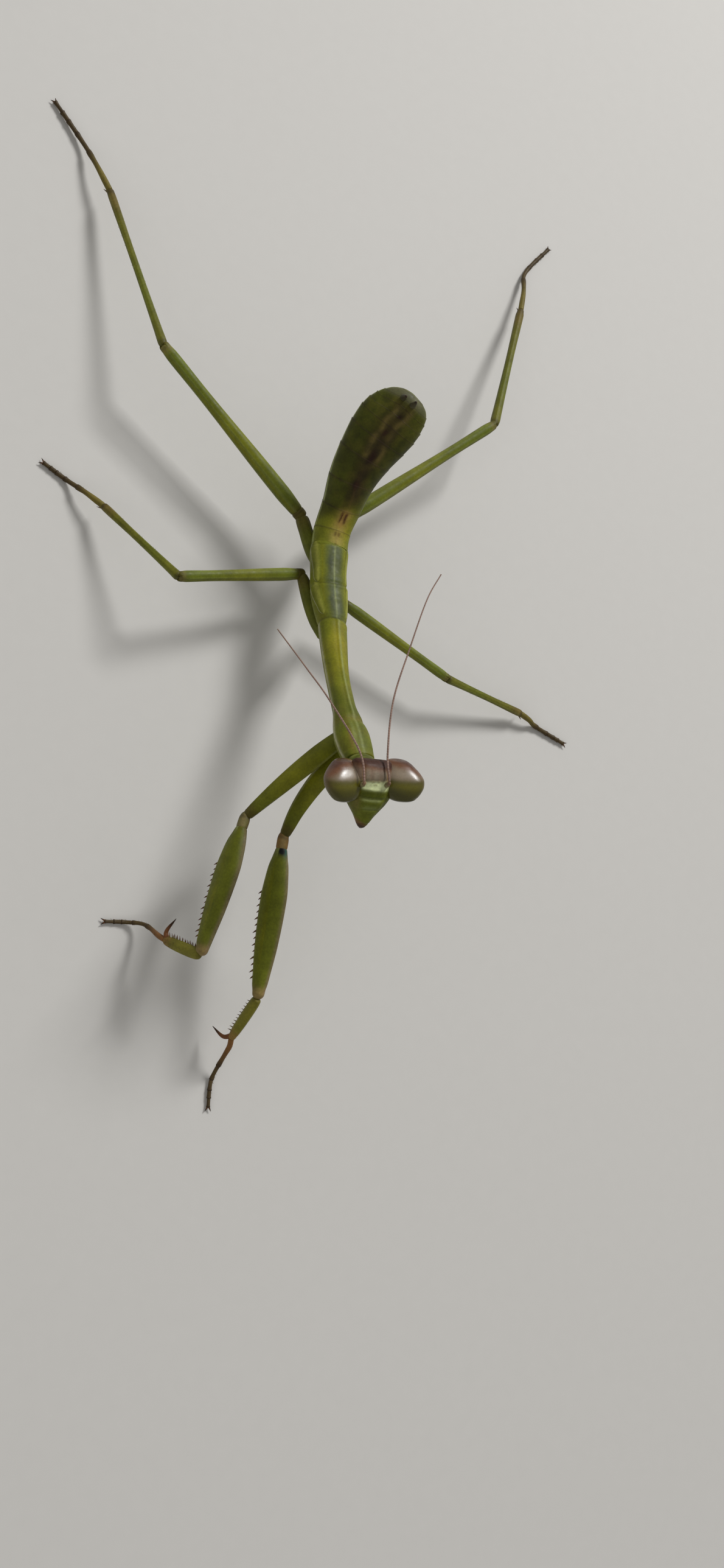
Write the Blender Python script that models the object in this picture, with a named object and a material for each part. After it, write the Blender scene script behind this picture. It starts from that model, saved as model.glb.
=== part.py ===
"""A praying mantis nymph, life size, standing still on a floor with its head and abdomen raised.

The animal faces -Y and its left side is at +X. Lengths are written in millimetres and turned into
metres by MM. Every sub-part is one closed solid, and neighbours keep a small gap to each other.
"""

import math

import bmesh
import bpy
from mathutils import Matrix, Vector

MM = 0.001

# Driving dimensions of the animal, in millimetres.
GAP = 0.06
THINNEST = 0.25  # half the thickness of tarsi and feelers
HEAD_WIDTH = 7.1
PRONOTUM_HALF_WIDTH = 1.36
THORAX_HALF_WIDTH = 1.5
ABDOMEN_LENGTH = 13.4
ABDOMEN_HALF_WIDTH = 2.4
FORE_FEMUR_DEPTH = 1.9
FORE_FEMUR_THICKNESS = 1.15
CENTRE_OF_BOX = Vector((1.352, -0.835, 0.0))  # of the leg tips' box, so the origin is under its middle

# Where the body's axis passes, from the front of the prothorax to the first ring of the abdomen.
NECK_END = Vector((-1.5, -14.9, 13.0))
DILATION = Vector((-1.5, -12.4, 11.5))
WAIST = Vector((-1.15, -8.2, 8.9))
PROTHORAX_END = Vector((-0.45, -3.35, 6.4))
MESOTHORAX_END = Vector((-0.38, -0.35, 5.6))
METATHORAX_END = Vector((-0.12, 2.65, 5.2))
HEAD_CENTRE = Vector((-1.5, -16.6, 14.9))
HEAD_DOWN = Vector((0.05, -0.90, -0.43))
HEAD_SIDE = Vector((0.995, 0.067, 0.058))


def put(point):
    """A point of the animal, in metres, with the origin under the middle of its box."""
    return (Vector(point) - CENTRE_OF_BOX) * MM


# ---------------------------------------------------------------- materials


def finish(name, colour, roughness):
    material = bpy.data.materials.new(name)
    material.use_nodes = True
    shader = material.node_tree.nodes["Principled BSDF"]
    shader.inputs["Base Color"].default_value = (*colour, 1)
    shader.inputs["Roughness"].default_value = roughness
    material.diffuse_color = (*colour, 1)
    return material


# ---------------------------------------------------------------- shapes


def between(table, t):
    """The row of a table of (t, value, value, ...) at t, eased between its neighbours."""
    if t <= table[0][0]:
        return table[0][1:]
    for low, high in zip(table, table[1:]):
        if t <= high[0]:
            share = (t - low[0]) / (high[0] - low[0])
            share = share * share * (3 - 2 * share)
            return [a + (b - a) * share for a, b in zip(low[1:], high[1:])]
    return table[-1][1:]


def solid_from_rings(name, rings, material):
    """A closed solid whose skin runs from ring to ring, closed by a flat face at both ends."""
    bm = bmesh.new()
    loops = [[bm.verts.new(put(point)) for point in ring] for ring in rings]
    for first, second in zip(loops, loops[1:]):
        for i in range(len(first)):
            j = (i + 1) % len(first)
            bm.faces.new((first[i], first[j], second[j], second[i]))
    bm.faces.new(reversed(loops[0]))
    bm.faces.new(loops[-1])
    bmesh.ops.recalc_face_normals(bm, faces=bm.faces)
    mesh = bpy.data.meshes.new(name)
    bm.to_mesh(mesh)
    bm.free()
    mesh.materials.append(material)
    mesh.shade_smooth()
    solid = bpy.data.objects.new(name, mesh)
    bpy.context.collection.objects.link(solid)
    return solid


def ring_at(centre, side, up, half_width, half_height, sides, squareness=1.0):
    """Points round an oval. A squareness under 1 gives it fuller corners."""
    points = []
    for i in range(sides):
        angle = 2 * math.pi * (i + 0.5) / sides
        c, s = math.cos(angle), math.sin(angle)
        across = math.copysign(abs(c) ** squareness, c) * half_width
        along = math.copysign(abs(s) ** squareness, s) * half_height
        points.append(centre + side * across + up * along)
    return points


def smooth_path(points, steps):
    """Points along a Catmull-Rom curve through the given ones."""
    ends = [points[0] * 2 - points[1], *points, points[-1] * 2 - points[-2]]
    path = []
    for p0, p1, p2, p3 in zip(ends, ends[1:], ends[2:], ends[3:]):
        for i in range(steps):
            t = i / steps
            path.append(
                0.5
                * (
                    2 * p1
                    + (p2 - p0) * t
                    + (2 * p0 - 5 * p1 + 4 * p2 - p3) * t**2
                    + (3 * p1 - p0 - 3 * p2 + p3) * t**3
                )
            )
    return [*path, points[-1]]


def tangents(path):
    return [
        (path[min(i + 1, len(path) - 1)] - path[max(i - 1, 0)]).normalized()
        for i in range(len(path))
    ]


def tube(name, path, table, side, material, sides=8, squareness=1.0):
    """A solid along a path. The table gives (share of length, half width, half height)."""
    lengths = [0.0]
    for a, b in zip(path, path[1:]):
        lengths.append(lengths[-1] + (b - a).length)
    rings = []
    for point, tangent, length in zip(path, tangents(path), lengths):
        up = tangent.cross(side).normalized()
        across = up.cross(tangent).normalized()
        half_width, half_height = between(table, length / lengths[-1])
        rings.append(ring_at(point, across, up, half_width, half_height, sides, squareness))
    return solid_from_rings(name, rings, material)


def line(start, end, steps, trim_start=0.0, trim_end=0.0, bow=Vector((0, 0, 0))):
    """Points on a slightly bowed line, which stops short of its ends by the trims."""
    along = (end - start).normalized()
    start, end = start + along * trim_start, end - along * trim_end
    return [
        start.lerp(end, i / steps) + bow * math.sin(math.pi * i / steps)
        for i in range(steps + 1)
    ]


def cone(bm, base, tip, radius, sides=5):
    """Adds a closed spine to a mesh, from base to tip."""
    along = (tip - base).normalized()
    side = along.orthogonal().normalized()
    up = along.cross(side)
    ring = [bm.verts.new(put(p)) for p in ring_at(base, side, up, radius, radius, sides)]
    top = bm.verts.new(put(tip))
    faces = [bm.faces.new(reversed(ring))]
    for i in range(sides):
        faces.append(bm.faces.new((ring[i], ring[(i + 1) % sides], top)))
    bmesh.ops.recalc_face_normals(bm, faces=faces)


def cones_object(name, spines):
    bm = bmesh.new()
    for base, tip, radius in spines:
        cone(bm, base, tip, radius)
    mesh = bpy.data.meshes.new(name)
    bm.to_mesh(mesh)
    bm.free()
    helper = bpy.data.objects.new(name, mesh)
    bpy.context.collection.objects.link(helper)
    helper.hide_render = True
    helper.display_type = "WIRE"
    return helper


def combine(solid, helper, operation):
    modifier = solid.modifiers.new(helper.name, "BOOLEAN")
    modifier.object = helper
    modifier.operation = operation


def fit_against(solid, neighbours):
    """Cuts from a solid what would come nearer than the gap to its neighbours."""
    for neighbour in neighbours:
        combine(solid, swollen_copy(neighbour, GAP, f"{solid.name}_against_{neighbour.name}"), "DIFFERENCE")


def swollen_copy(solid, extra, name):
    """A helper a little larger than a solid, to cut its neighbour with."""
    copy = solid.copy()
    copy.data = solid.data.copy()
    copy.name = name
    copy.modifiers.clear()
    bpy.context.collection.objects.link(copy)
    for vertex, normal in zip(copy.data.vertices, [v.normal.copy() for v in copy.data.vertices]):
        vertex.co += normal * extra * MM
    copy.hide_render = True
    copy.display_type = "WIRE"
    return copy


# ---------------------------------------------------------------- trunk

SPAN_STEPS = 6  # rings to each stretch between two named points of the axis


def upright_ring(point, along, half_width, half_height, sides=16, squareness=0.92):
    side = along.cross(Vector((0, 0, 1))).normalized()
    return ring_at(point, side, side.cross(along), half_width, half_height, sides, squareness)


def parted(name, stations, material, squareness=0.92):
    """A stretch of the trunk, from (point, direction, half width, half height) stations.
    Its first ring keeps the gap to the stretch before it."""
    rings = []
    for i, (point, along, half_width, half_height) in enumerate(stations):
        if i == 0:
            point = point + along * GAP
        rings.append(upright_ring(point, along, half_width, half_height, 16, squareness))
    return solid_from_rings(name, rings, material)


def thorax(material):
    """The long waisted front shield and the two short ones behind it, parted from one body."""
    w, m = PRONOTUM_HALF_WIDTH, THORAX_HALF_WIDTH
    control = [
        NECK_END, DILATION, WAIST, PROTHORAX_END, MESOTHORAX_END, METATHORAX_END,
        abdomen_path()[12][0],
    ]
    path = smooth_path(control, SPAN_STEPS)
    directions = tangents(path)
    directions[5 * SPAN_STEPS] = (control[-1] - METATHORAX_END).normalized()
    borders = {"prothorax": (0, 3), "mesothorax": (3, 4), "metathorax": (4, 5)}
    tables = {
        "prothorax": [
            (0.0, w * 0.70, 0.80),
            (0.10, w * 0.90, 0.98),
            (0.22, w * 0.97, 1.08),
            (0.33, w * 0.81, 0.95),
            (0.47, w * 0.62, 0.83),
            (0.63, w * 0.63, 0.83),
            (0.85, w * 0.76, 0.86),
            (1.0, w * 0.83, 0.95),
        ],
        "mesothorax": [(0.0, m * 0.84, 0.98), (0.3, m * 0.96, 1.06), (0.85, m * 1.04, 1.12), (1.0, m, 1.1)],
        "metathorax": [(0.0, m * 0.94, 1.1), (0.3, m, 1.15), (0.85, m * 1.04, 1.15), (1.0, m * 0.94, 1.1)],
    }
    made = {}
    for name, (first, last) in borders.items():
        low, high = first * SPAN_STEPS, last * SPAN_STEPS
        stations = [
            (path[i], directions[i], *between(tables[name], (i - low) / (high - low)))
            for i in range(low, high + 1)
        ]
        made[name] = parted(name, stations, material)
    return made


# ---------------------------------------------------------------- abdomen

ABDOMEN_RINGS = 10
START_RISE, BENT_RISE, END_RISE = math.radians(4), math.radians(34), math.radians(44.5)
BEND_SHARE = 0.25  # of the abdomen's length, in which it turns upwards
END_TURN = math.radians(39)  # to the animal's left
SAMPLES = 120


def abdomen_path():
    """Points and directions of the abdomen's axis, which turns up and a little to the left."""
    step = ABDOMEN_LENGTH / SAMPLES
    point = METATHORAX_END.copy()
    path = [(point.copy(), Vector((0, math.cos(START_RISE), math.sin(START_RISE))))]
    for i in range(SAMPLES):
        t = (i + 0.5) / SAMPLES
        bend = min(1.0, t / BEND_SHARE)
        bend = bend * bend * (3 - 2 * bend)
        rise = START_RISE + (BENT_RISE - START_RISE) * bend + (END_RISE - BENT_RISE) * t
        turn = END_TURN * t
        along = Vector(
            (math.sin(turn) * math.cos(rise), math.cos(turn) * math.cos(rise), math.sin(rise))
        )
        point = point + along * step
        path.append((point.copy(), along))
    return path


def abdomen_section(t):
    """Half width and half depth of the abdomen at a share of its length."""
    w = ABDOMEN_HALF_WIDTH
    return between(
        [
            (0.0, w * 0.56, 1.08),
            (0.2, w * 0.61, 1.22),
            (0.5, w * 0.81, 1.35),
            (0.78, w, 1.22),
            (0.9, w * 0.86, 0.95),
            (0.97, w * 0.58, 0.62),
            (1.0, w * 0.30, 0.34),
        ],
        t,
    )


def abdomen(material):
    """The abdomen's rings, each a little wider at its rear edge, and the rounded last one."""
    path = abdomen_path()
    path[0] = (path[0][0], (path[12][0] - METATHORAX_END).normalized())
    borders = [(i / ABDOMEN_RINGS) ** 0.93 for i in range(ABDOMEN_RINGS)] + [1.0]
    made = []
    for index in range(ABDOMEN_RINGS):
        low, high = borders[index], borders[index + 1]
        last = index == ABDOMEN_RINGS - 1
        count = 4 if last else 2
        stations = []
        for i in range(count + 1):
            t = low + (high - low) * i / count
            half_width, half_height = abdomen_section(t)
            flare = 0.975 if last else 0.975 + 0.05 * i / count
            stations.append((*path[round(t * SAMPLES)], half_width * flare, half_height))
        made.append(parted(f"abdomen_{index + 1}", stations, material, 0.86))
    return made


def cerci(material, last_ring):
    """The two short feelers, which stand up from the back of the abdomen's end."""
    end, along = abdomen_path()[-1]
    side = along.cross(Vector((0, 0, 1))).normalized()
    up = side.cross(along)
    table = [(0.0, 0.3, 0.3), (0.5, THINNEST, THINNEST), (1.0, 0.12, 0.12)]
    tips = (("cercus_right", -1, (1.5, 11.2, 14.87)), ("cercus_left", 1, (2.35, 10.95, 14.93)))
    for name, way, tip in tips:
        start = end - along * 0.6 + side * way * 0.4 + up * 0.25
        cercus = tube(name, line(start, Vector(tip), 5), table, side, material, 8)
        fit_against(cercus, [last_ring])


# ---------------------------------------------------------------- head


def head_frame():
    side = HEAD_SIDE.normalized()
    down = (HEAD_DOWN - side * HEAD_DOWN.dot(side)).normalized()
    return side, down, down.cross(side)


def head_point(across, down, out):
    """A point of the head: to its left, down its face and out of its face, from its middle."""
    side, below, front = head_frame()
    return HEAD_CENTRE + side * across + below * down + front * out


def head(material):
    """The three-cornered capsule: wide at the crown between the eyes, narrow at the mouth."""
    side, below, front = head_frame()
    w = HEAD_WIDTH / 2
    # (down the face, half width, front, back)
    table = [
        (-1.28, w * 0.34, 0.35, -0.55),
        (-1.15, w * 0.56, 0.75, -0.95),
        (-0.85, w * 0.66, 1.05, -1.15),
        (-0.2, w * 0.62, 1.20, -1.20),
        (0.7, w * 0.54, 1.27, -1.05),
        (1.5, w * 0.43, 1.25, -0.80),
        (2.2, w * 0.29, 1.12, -0.50),
        (2.7, w * 0.18, 0.98, -0.20),
        (2.95, w * 0.14, 0.86, -0.05),
    ]
    rings = []
    for down, half_width, out, back in table:
        centre = head_point(-0.09 * max(down, 0), down, (out + back) / 2)
        rings.append(ring_at(centre, side, front, half_width, (out - back) / 2, 16, 0.9))
    return solid_from_rings("head", rings, material)


EYE_HALF = Vector((1.2, 1.42, 1.18))  # across, down and out of the face
EYE_OUT = 0.5


def eye(name, way, material):
    """A large egg-shaped eye, upright at the head's upper corner."""
    side, below, front = head_frame()
    bm = bmesh.new()
    bmesh.ops.create_uvsphere(bm, u_segments=16, v_segments=10, radius=1.0)
    centre = head_point(way * (HEAD_WIDTH / 2 - EYE_HALF.x), 0.05, EYE_OUT)
    lean = Matrix.Rotation(way * math.radians(10), 3, "Y")
    for vertex in bm.verts:
        p = vertex.co
        p = lean @ Vector((p.x * EYE_HALF.x, p.y * EYE_HALF.z, p.z * EYE_HALF.y))
        vertex.co = put(centre + side * p.x + front * p.y - below * p.z)
    bmesh.ops.recalc_face_normals(bm, faces=bm.faces)
    mesh = bpy.data.meshes.new(name)
    bm.to_mesh(mesh)
    bm.free()
    mesh.materials.append(material)
    mesh.shade_smooth()
    solid = bpy.data.objects.new(name, mesh)
    bpy.context.collection.objects.link(solid)
    return solid


def mouthparts(material):
    """The upper lip and the palps behind it, at the head's lower corner."""
    side, below, front = head_frame()
    table = [(2.95 + GAP, 0.46, 0.84, -0.03), (3.2, 0.40, 0.78, 0.0), (3.38, 0.26, 0.62, 0.12)]
    rings = []
    for down, half_width, out, back in table:
        centre = head_point(-0.09 * down, down, (out + back) / 2)
        rings.append(ring_at(centre, side, front, half_width, (out - back) / 2, 12, 0.9))
    return solid_from_rings("mouthparts", rings, material)


def neck(material):
    """The short soft neck between the prothorax and the back of the head."""
    start = NECK_END + (NECK_END - DILATION).normalized() * GAP
    end = head_point(0, -0.3, -0.9)
    table = [(0.0, 0.5, 0.55), (1.0, 0.6, 0.6)]
    return tube("neck", line(start, end, 3), table, Vector((1, 0, 0)), material, 10)


def antenna(name, across, route, material):
    """A long thread-like feeler, swept back over the body from the middle of the face."""
    root, bend = head_point(across, 0.25, 1.45), head_point(across * 1.02, -0.4, 1.75)
    path = smooth_path([root, bend, *route], 4)
    table = [(0.0, THINNEST + 0.05, THINNEST + 0.05), (0.08, THINNEST, THINNEST), (1.0, THINNEST, THINNEST)]
    return tube(name, path, table, Vector((0, 0, 1)), material, 6)


RIGHT_FEELER_ROOT, LEFT_FEELER_ROOT = -1.15, 0.72  # across the face
RIGHT_FEELER = [(-2.95, -15.1, 16.2), (-4.68, -11.65, 15.2), (-6.07, -9.6, 14.7), (-8.0, -7.0, 14.2)]
LEFT_FEELER = [
    (-0.9, -15.2, 16.3), (0.10, -11.22, 15.2), (1.72, -7.18, 14.6), (3.41, -3.34, 14.0),
    (4.77, -1.19, 13.6),
]

# ---------------------------------------------------------------- legs


def walking_leg(name, coxa_root, hip, knee, ankle, heel, toe, femur_size, finishes, trunk):
    """One walking leg: coxa, trochanter, femur, tibia, and a tarsus that ends flat on the floor."""
    green, brown, dark = finishes
    outward = (knee - hip).normalized()
    drop = Vector((0, 0, 1))
    coxa = tube(
        f"{name}_coxa",
        line(coxa_root, hip, 4, 0.0, 0.5),
        [(0.0, 0.7, 0.7), (0.5, 0.55, 0.55), (1.0, 0.42, 0.42)],
        drop, green,
    )
    fit_against(coxa, trunk)
    tube(
        f"{name}_trochanter",
        line(hip - outward * 0.3, hip + outward * 0.45, 3),
        [(0.0, 0.3, 0.3), (0.5, 0.46, 0.46), (1.0, 0.36, 0.36)],
        drop, brown,
    )
    thick, thin = femur_size
    tube(
        f"{name}_femur",
        line(hip, knee, 8, 0.45 + GAP, 0.0),
        [
            (0.0, thick * 0.7, thick * 0.7),
            (0.15, thick, thick),
            (0.75, thin, thin),
            (0.93, thin * 1.02, thin * 1.02),
            (1.0, thin * 0.8, thin * 0.8),
        ],
        drop, green,
    )
    tube(
        f"{name}_tibia",
        line(knee, ankle, 8, thin + GAP, 0.0),
        [(0.0, 0.3, 0.3), (0.1, 0.34, 0.34), (0.6, 0.27, 0.27), (0.95, 0.31, 0.31), (1.0, 0.25, 0.25)],
        drop, green,
    )
    along = (heel - ankle).normalized()
    start = ankle + along * (THINNEST + GAP)
    path = smooth_path([start, ankle.lerp(heel, 0.5) + Vector((0, 0, 0.12)), heel, toe], 4)
    foot = tube(
        f"{name}_tarsus", path,
        [(0.0, THINNEST, THINNEST), (1.0, THINNEST, THINNEST)],
        drop, dark,
    )
    return foot


def level_feet(solid):
    """Flattens what would reach under the floor, so that the foot stands on a small flat."""
    for vertex in solid.data.vertices:
        vertex.co.z = max(vertex.co.z, 0.0)


def foreleg(name, root, elbow, knee, ankle, claw, inner, bow, foot_route, finishes, trunk):
    """A raptorial arm: long coxa, deep spined femur, short spined tibia with a claw, and a tarsus."""
    green, brown, dark = finishes
    drop = Vector((0, 0, 1))
    femur_way = (knee - elbow).normalized()
    shin_way = (ankle - knee).normalized()
    inner = (inner - femur_way * inner.dot(femur_way)).normalized()
    coxa = tube(
        f"{name}_coxa",
        line(root, elbow, 8, 0.0, 0.55, bow),
        [(0.0, 0.82, 0.66), (0.2, 0.80, 0.64), (0.7, 0.62, 0.52), (1.0, 0.5, 0.42)],
        inner, green,
    )
    fit_against(coxa, trunk)
    coxa_way = (elbow - root).normalized()
    middle = elbow + femur_way * 0.25
    tube(
        f"{name}_trochanter",
        [elbow - coxa_way * 0.25 - femur_way * 0.1, elbow, middle, elbow + femur_way * 0.75],
        [(0.0, 0.32, 0.3), (0.5, 0.52, 0.42), (1.0, 0.46, 0.38)],
        inner, brown,
    )
    depth, half = FORE_FEMUR_DEPTH / 2, FORE_FEMUR_THICKNESS / 2
    femur_path = line(elbow, knee, 10, 0.75 + GAP, 0.0)
    femur_table = [
        (0.0, depth * 0.5, half * 0.75),
        (0.15, depth * 0.8, half),
        (0.35, depth, half),
        (0.65, depth * 0.82, half * 0.9),
        (0.9, depth * 0.52, half * 0.8),
        (1.0, depth * 0.38, half * 0.62),
    ]
    femur = tube(f"{name}_femur", femur_path, femur_table, inner, green, 10)
    across = femur_way.cross(inner).normalized()
    spines = []
    for row, count, first, last, length in ((-1, 6, 0.34, 0.84, 0.42), (1, 13, 0.32, 0.84, 0.42)):
        for i in range(count):
            t = first + (last - first) * i / (count - 1)
            point = femur_path[0].lerp(femur_path[-1], t)
            half_depth, half_thick = between(femur_table, t)
            base = point + inner * (half_depth * 0.72) + across * row * half_thick * 0.45
            tip = point + inner * (half_depth + length) + across * row * half_thick * 0.6 + femur_way * 0.25
            spines.append((base, tip, 0.12))
    combine(femur, cones_object(f"{name}_femur_spines", spines), "UNION")
    shin_path = line(knee, ankle, 6, depth * 0.38 + GAP, 0.0)
    shin_table = [(0.0, 0.34, 0.3), (0.3, 0.42, 0.34), (0.8, 0.36, 0.3), (1.0, 0.26, 0.24)]
    catch = (-femur_way - shin_way * (-femur_way).dot(shin_way)).normalized()
    shin = tube(f"{name}_tibia", shin_path, shin_table, catch, green, 8)
    across = shin_way.cross(catch).normalized()
    spines = []
    for row, count in ((-1, 8), (1, 9)):
        for i in range(count):
            t = 0.2 + 0.6 * i / (count - 1)
            point = shin_path[0].lerp(shin_path[-1], t)
            half_depth, half_thick = between(shin_table, t)
            base = point + catch * (half_depth * 0.6) + across * row * half_thick * 0.45
            tip = point + catch * (half_depth + 0.34) + across * row * half_thick * 0.5 + shin_way * 0.1
            spines.append((base, tip, 0.09))
    combine(shin, cones_object(f"{name}_tibia_spines", spines), "UNION")
    hook = tube(
        f"{name}_claw",
        smooth_path([ankle - shin_way * 0.25, ankle.lerp(claw, 0.35) + shin_way * 0.2, claw], 3),
        [(0.0, 0.2, 0.2), (0.5, 0.17, 0.17), (1.0, 0.05, 0.05)],
        catch, green, 6,
    )
    hook.hide_render = True
    combine(shin, hook, "UNION")
    path = smooth_path([Vector(p) for p in foot_route], 4)
    return tube(
        f"{name}_tarsus", path,
        [(0.0, THINNEST, THINNEST), (1.0, THINNEST, THINNEST)],
        drop, dark, 8,
    )


def main():
    for thing in list(bpy.data.objects):
        bpy.data.objects.remove(thing)
    green = finish("green_cuticle", (0.22, 0.36, 0.05), 0.4)
    olive = finish("olive_cuticle", (0.12, 0.20, 0.03), 0.4)
    brown = finish("brown_cuticle", (0.25, 0.12, 0.04), 0.5)
    dark = finish("tarsus_cuticle", (0.22, 0.10, 0.04), 0.5)
    eye_shell = finish("eye_shell", (0.30, 0.24, 0.16), 0.15)

    trunk = thorax(green)
    rings = abdomen(olive)
    cerci(green, rings[-1])

    capsule = head(green)
    for name, way in (("eye_right", -1), ("eye_left", 1)):
        ball = eye(name, way, eye_shell)
        combine(capsule, swollen_copy(ball, GAP, f"{name}_socket"), "DIFFERENCE")
    mouthparts(brown)
    neck_solid = neck(green)
    fit_against(neck_solid, [capsule])
    antenna("antenna_right", RIGHT_FEELER_ROOT, [Vector(p) for p in RIGHT_FEELER], brown)
    antenna("antenna_left", LEFT_FEELER_ROOT, [Vector(p) for p in LEFT_FEELER], brown)

    finishes = (green, brown, dark)
    legs = {
        "hind_leg_right": (
            ((-1.0, 1.6, 4.3), (-1.85, 5.4, 3.8), (-13.3, 16.35, 4.7)),
            ((-16.8, 29.5, 1.6), (-18.7, 33.6, 0.5), (-21.0, 36.7, 0.24)),
            (0.60, 0.44),
        ),
        "hind_leg_left": (
            ((0.75, 1.6, 4.4), (1.85, 5.8, 3.8), (14.7, 15.5, 4.85)),
            ((19.5, 28.1, 1.6), (20.9, 32.6, 0.3), (23.5, 35.6, 0.24)),
            (0.60, 0.44),
        ),
        "middle_leg_right": (
            ((-0.95, -4.0, 4.9), (-1.8, 0.8, 3.85), (-11.85, -1.2, 5.05)),
            ((-16.5, 4.55, 1.5), (-19.0, 6.55, 0.3), (-20.8, 7.65, 0.24)),
            (0.50, 0.42),
        ),
        "middle_leg_left": (
            ((0.35, -4.0, 4.9), (1.65, -0.8, 3.6), (11.1, -5.7, 3.15)),
            ((19.1, -7.2, 0.95), (21.0, -8.0, 0.3), (23.8, -9.2, 0.24)),
            (0.44, 0.36),
        ),
    }
    hind = [trunk["metathorax"], rings[0], rings[1]]
    middle = [trunk["prothorax"], trunk["mesothorax"], trunk["metathorax"]]
    feet = []
    for name, (upper, lower, size) in legs.items():
        points = [Vector(p) for p in (*upper, *lower)]
        near = hind if name.startswith("hind") else middle
        feet.append(walking_leg(name, *points, size, finishes, near))
    # Each arm: root, elbow and knee; ankle, claw tip, the spined side and the coxa's bow; foot.
    arms = {
        "foreleg_right": (
            ((-2.0, -13.35, 10.7), (-7.0, -18.4, 6.3), (-10.15, -28.1, 6.4)),
            ((-11.75, -26.9, 3.5), (-11.2, -25.5, 4.3), (-0.45, 0.2, -0.87), (0.0, 0.15, 0.1)),
            ((-12.0, -26.6, 3.0), (-12.4, -25.7, 1.1), (-13.5, -25.5, 0.3), (-15.2, -25.5, 0.24)),
        ),
        "foreleg_left": (
            ((-1.0, -13.8, 10.1), (-4.0, -19.6, 6.1), (-5.45, -30.9, 5.2)),
            ((-6.35, -33.6, 2.5), (-7.2, -32.7, 1.1), (-0.62, 0.2, -0.75), (-0.4, 0.0, -0.35)),
            ((-6.3, -34.1, 2.2), (-6.8, -36.0, 0.5), (-7.0, -36.9, 0.27), (-7.1, -38.5, 0.24)),
        ),
    }
    near = [trunk["prothorax"]]
    for name, (upper, lower, route) in arms.items():
        points = [Vector(p) for p in (*upper, *lower)]
        feet.append(foreleg(name, *points, route, finishes, near))
        near.append(bpy.data.objects[f"{name}_coxa"])
    for foot in feet:
        level_feet(foot)


main()
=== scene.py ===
"""A life-size museum model of a young praying mantis, standing on all six legs."""

import math

import bpy
import numpy as np
from mathutils import Matrix


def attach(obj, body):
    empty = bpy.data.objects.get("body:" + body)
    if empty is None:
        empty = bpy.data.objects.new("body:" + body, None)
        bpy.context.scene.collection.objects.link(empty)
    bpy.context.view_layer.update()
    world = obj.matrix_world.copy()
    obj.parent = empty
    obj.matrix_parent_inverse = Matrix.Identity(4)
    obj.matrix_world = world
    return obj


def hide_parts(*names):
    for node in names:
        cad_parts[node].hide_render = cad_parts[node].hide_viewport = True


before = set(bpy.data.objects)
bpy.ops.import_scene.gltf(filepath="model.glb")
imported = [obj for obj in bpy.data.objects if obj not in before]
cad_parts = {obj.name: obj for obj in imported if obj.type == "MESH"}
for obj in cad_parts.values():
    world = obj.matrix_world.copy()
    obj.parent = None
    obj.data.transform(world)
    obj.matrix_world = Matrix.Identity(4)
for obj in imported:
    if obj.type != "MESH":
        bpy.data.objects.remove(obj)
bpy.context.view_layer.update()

# ---------------------------------------------------------------- the stand
# The model stands on a plain pale display board, lit as in a studio: one soft lamp high behind
# its left side, a weak fill from the front, and a pale room all round.

BOARD_HALF, BOARD_ROUGHNESS = 1.5, 0.75
BOARD_COLOUR = (0.60, 0.585, 0.555)
FLECK_SCALE, FLECK_SHADE = 900, 0.97
LAMP_WAY = (0.4301, 0.6075, 0.6678)
LAMP_FAR, LAMP_SIZE, LAMP_POWER = 0.6, 0.16, 2.75
FILL_PLACE, FILL_SIZE, FILL_POWER = (-0.35, -0.30, 0.35), 0.4, 0.45
ROOM_COLOUR, ROOM_STRENGTH = (1.0, 0.99, 0.97, 1), 0.30
CAMERA_PLACE = (-0.046977, -0.034582, 0.104167)
CAMERA_AXES = ((0.8989, 0.0, 0.4382), (-0.0796, 0.9834, 0.1632), (-0.4309, -0.1816, 0.8839))
LENS, FILM_HEIGHT = 34.94, 36
NEAREST, FARTHEST = 0.001, 20


def fill_in(tree, node, inputs):
    """Gives each named input of a node a value, or joins it to another node's socket."""
    for name, value in inputs.items():
        if isinstance(value, bpy.types.NodeSocket):
            tree.links.new(value, node.inputs[name])
        else:
            node.inputs[name].default_value = value
    return node


def add_node(tree, kind, inputs=(), **settings):
    node = tree.nodes.new(kind)
    for name, value in settings.items():
        setattr(node, name, value)
    return fill_in(tree, node, dict(inputs))


def add_cloud(tree, place, scale, detail=2):
    noise = {"Scale": scale, "Detail": detail, "Vector": place}
    return add_node(tree, "ShaderNodeTexNoise", noise).outputs["Fac"]


def add_ramp(tree, value, low, high, low_at=0.0, high_at=1.0):
    """Blends from one colour to another as the value rises."""
    ramp = add_node(tree, "ShaderNodeValToRGB", {"Fac": value})
    low_end, high_end = ramp.color_ramp.elements
    low_end.color, low_end.position = (*low, 1), low_at
    high_end.color, high_end.position = (*high, 1), high_at
    return ramp.outputs["Color"]


board_mesh = bpy.data.meshes.new("display_board")
board_corners = ((-1, -1, 0), (1, -1, 0), (1, 1, 0), (-1, 1, 0))
board_mesh.from_pydata((BOARD_HALF * np.array(board_corners)).tolist(), [], [(0, 1, 2, 3)])
board = bpy.data.objects.new("display_board", board_mesh)
bpy.context.scene.collection.objects.link(board)
board_finish = bpy.data.materials.new("pale matt board")
board_finish.use_nodes = True
board_tree = board_finish.node_tree
board_place = add_node(board_tree, "ShaderNodeTexCoord").outputs["Object"]
flecks = add_cloud(board_tree, board_place, FLECK_SCALE)
fleck_colour = [FLECK_SHADE * part for part in BOARD_COLOUR]
board_paint = {
    "Base Color": add_ramp(board_tree, flecks, fleck_colour, BOARD_COLOUR),
    "Roughness": BOARD_ROUGHNESS,
}
fill_in(board_tree, board_tree.nodes["Principled BSDF"], board_paint)
board_mesh.materials.append(board_finish)


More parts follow.
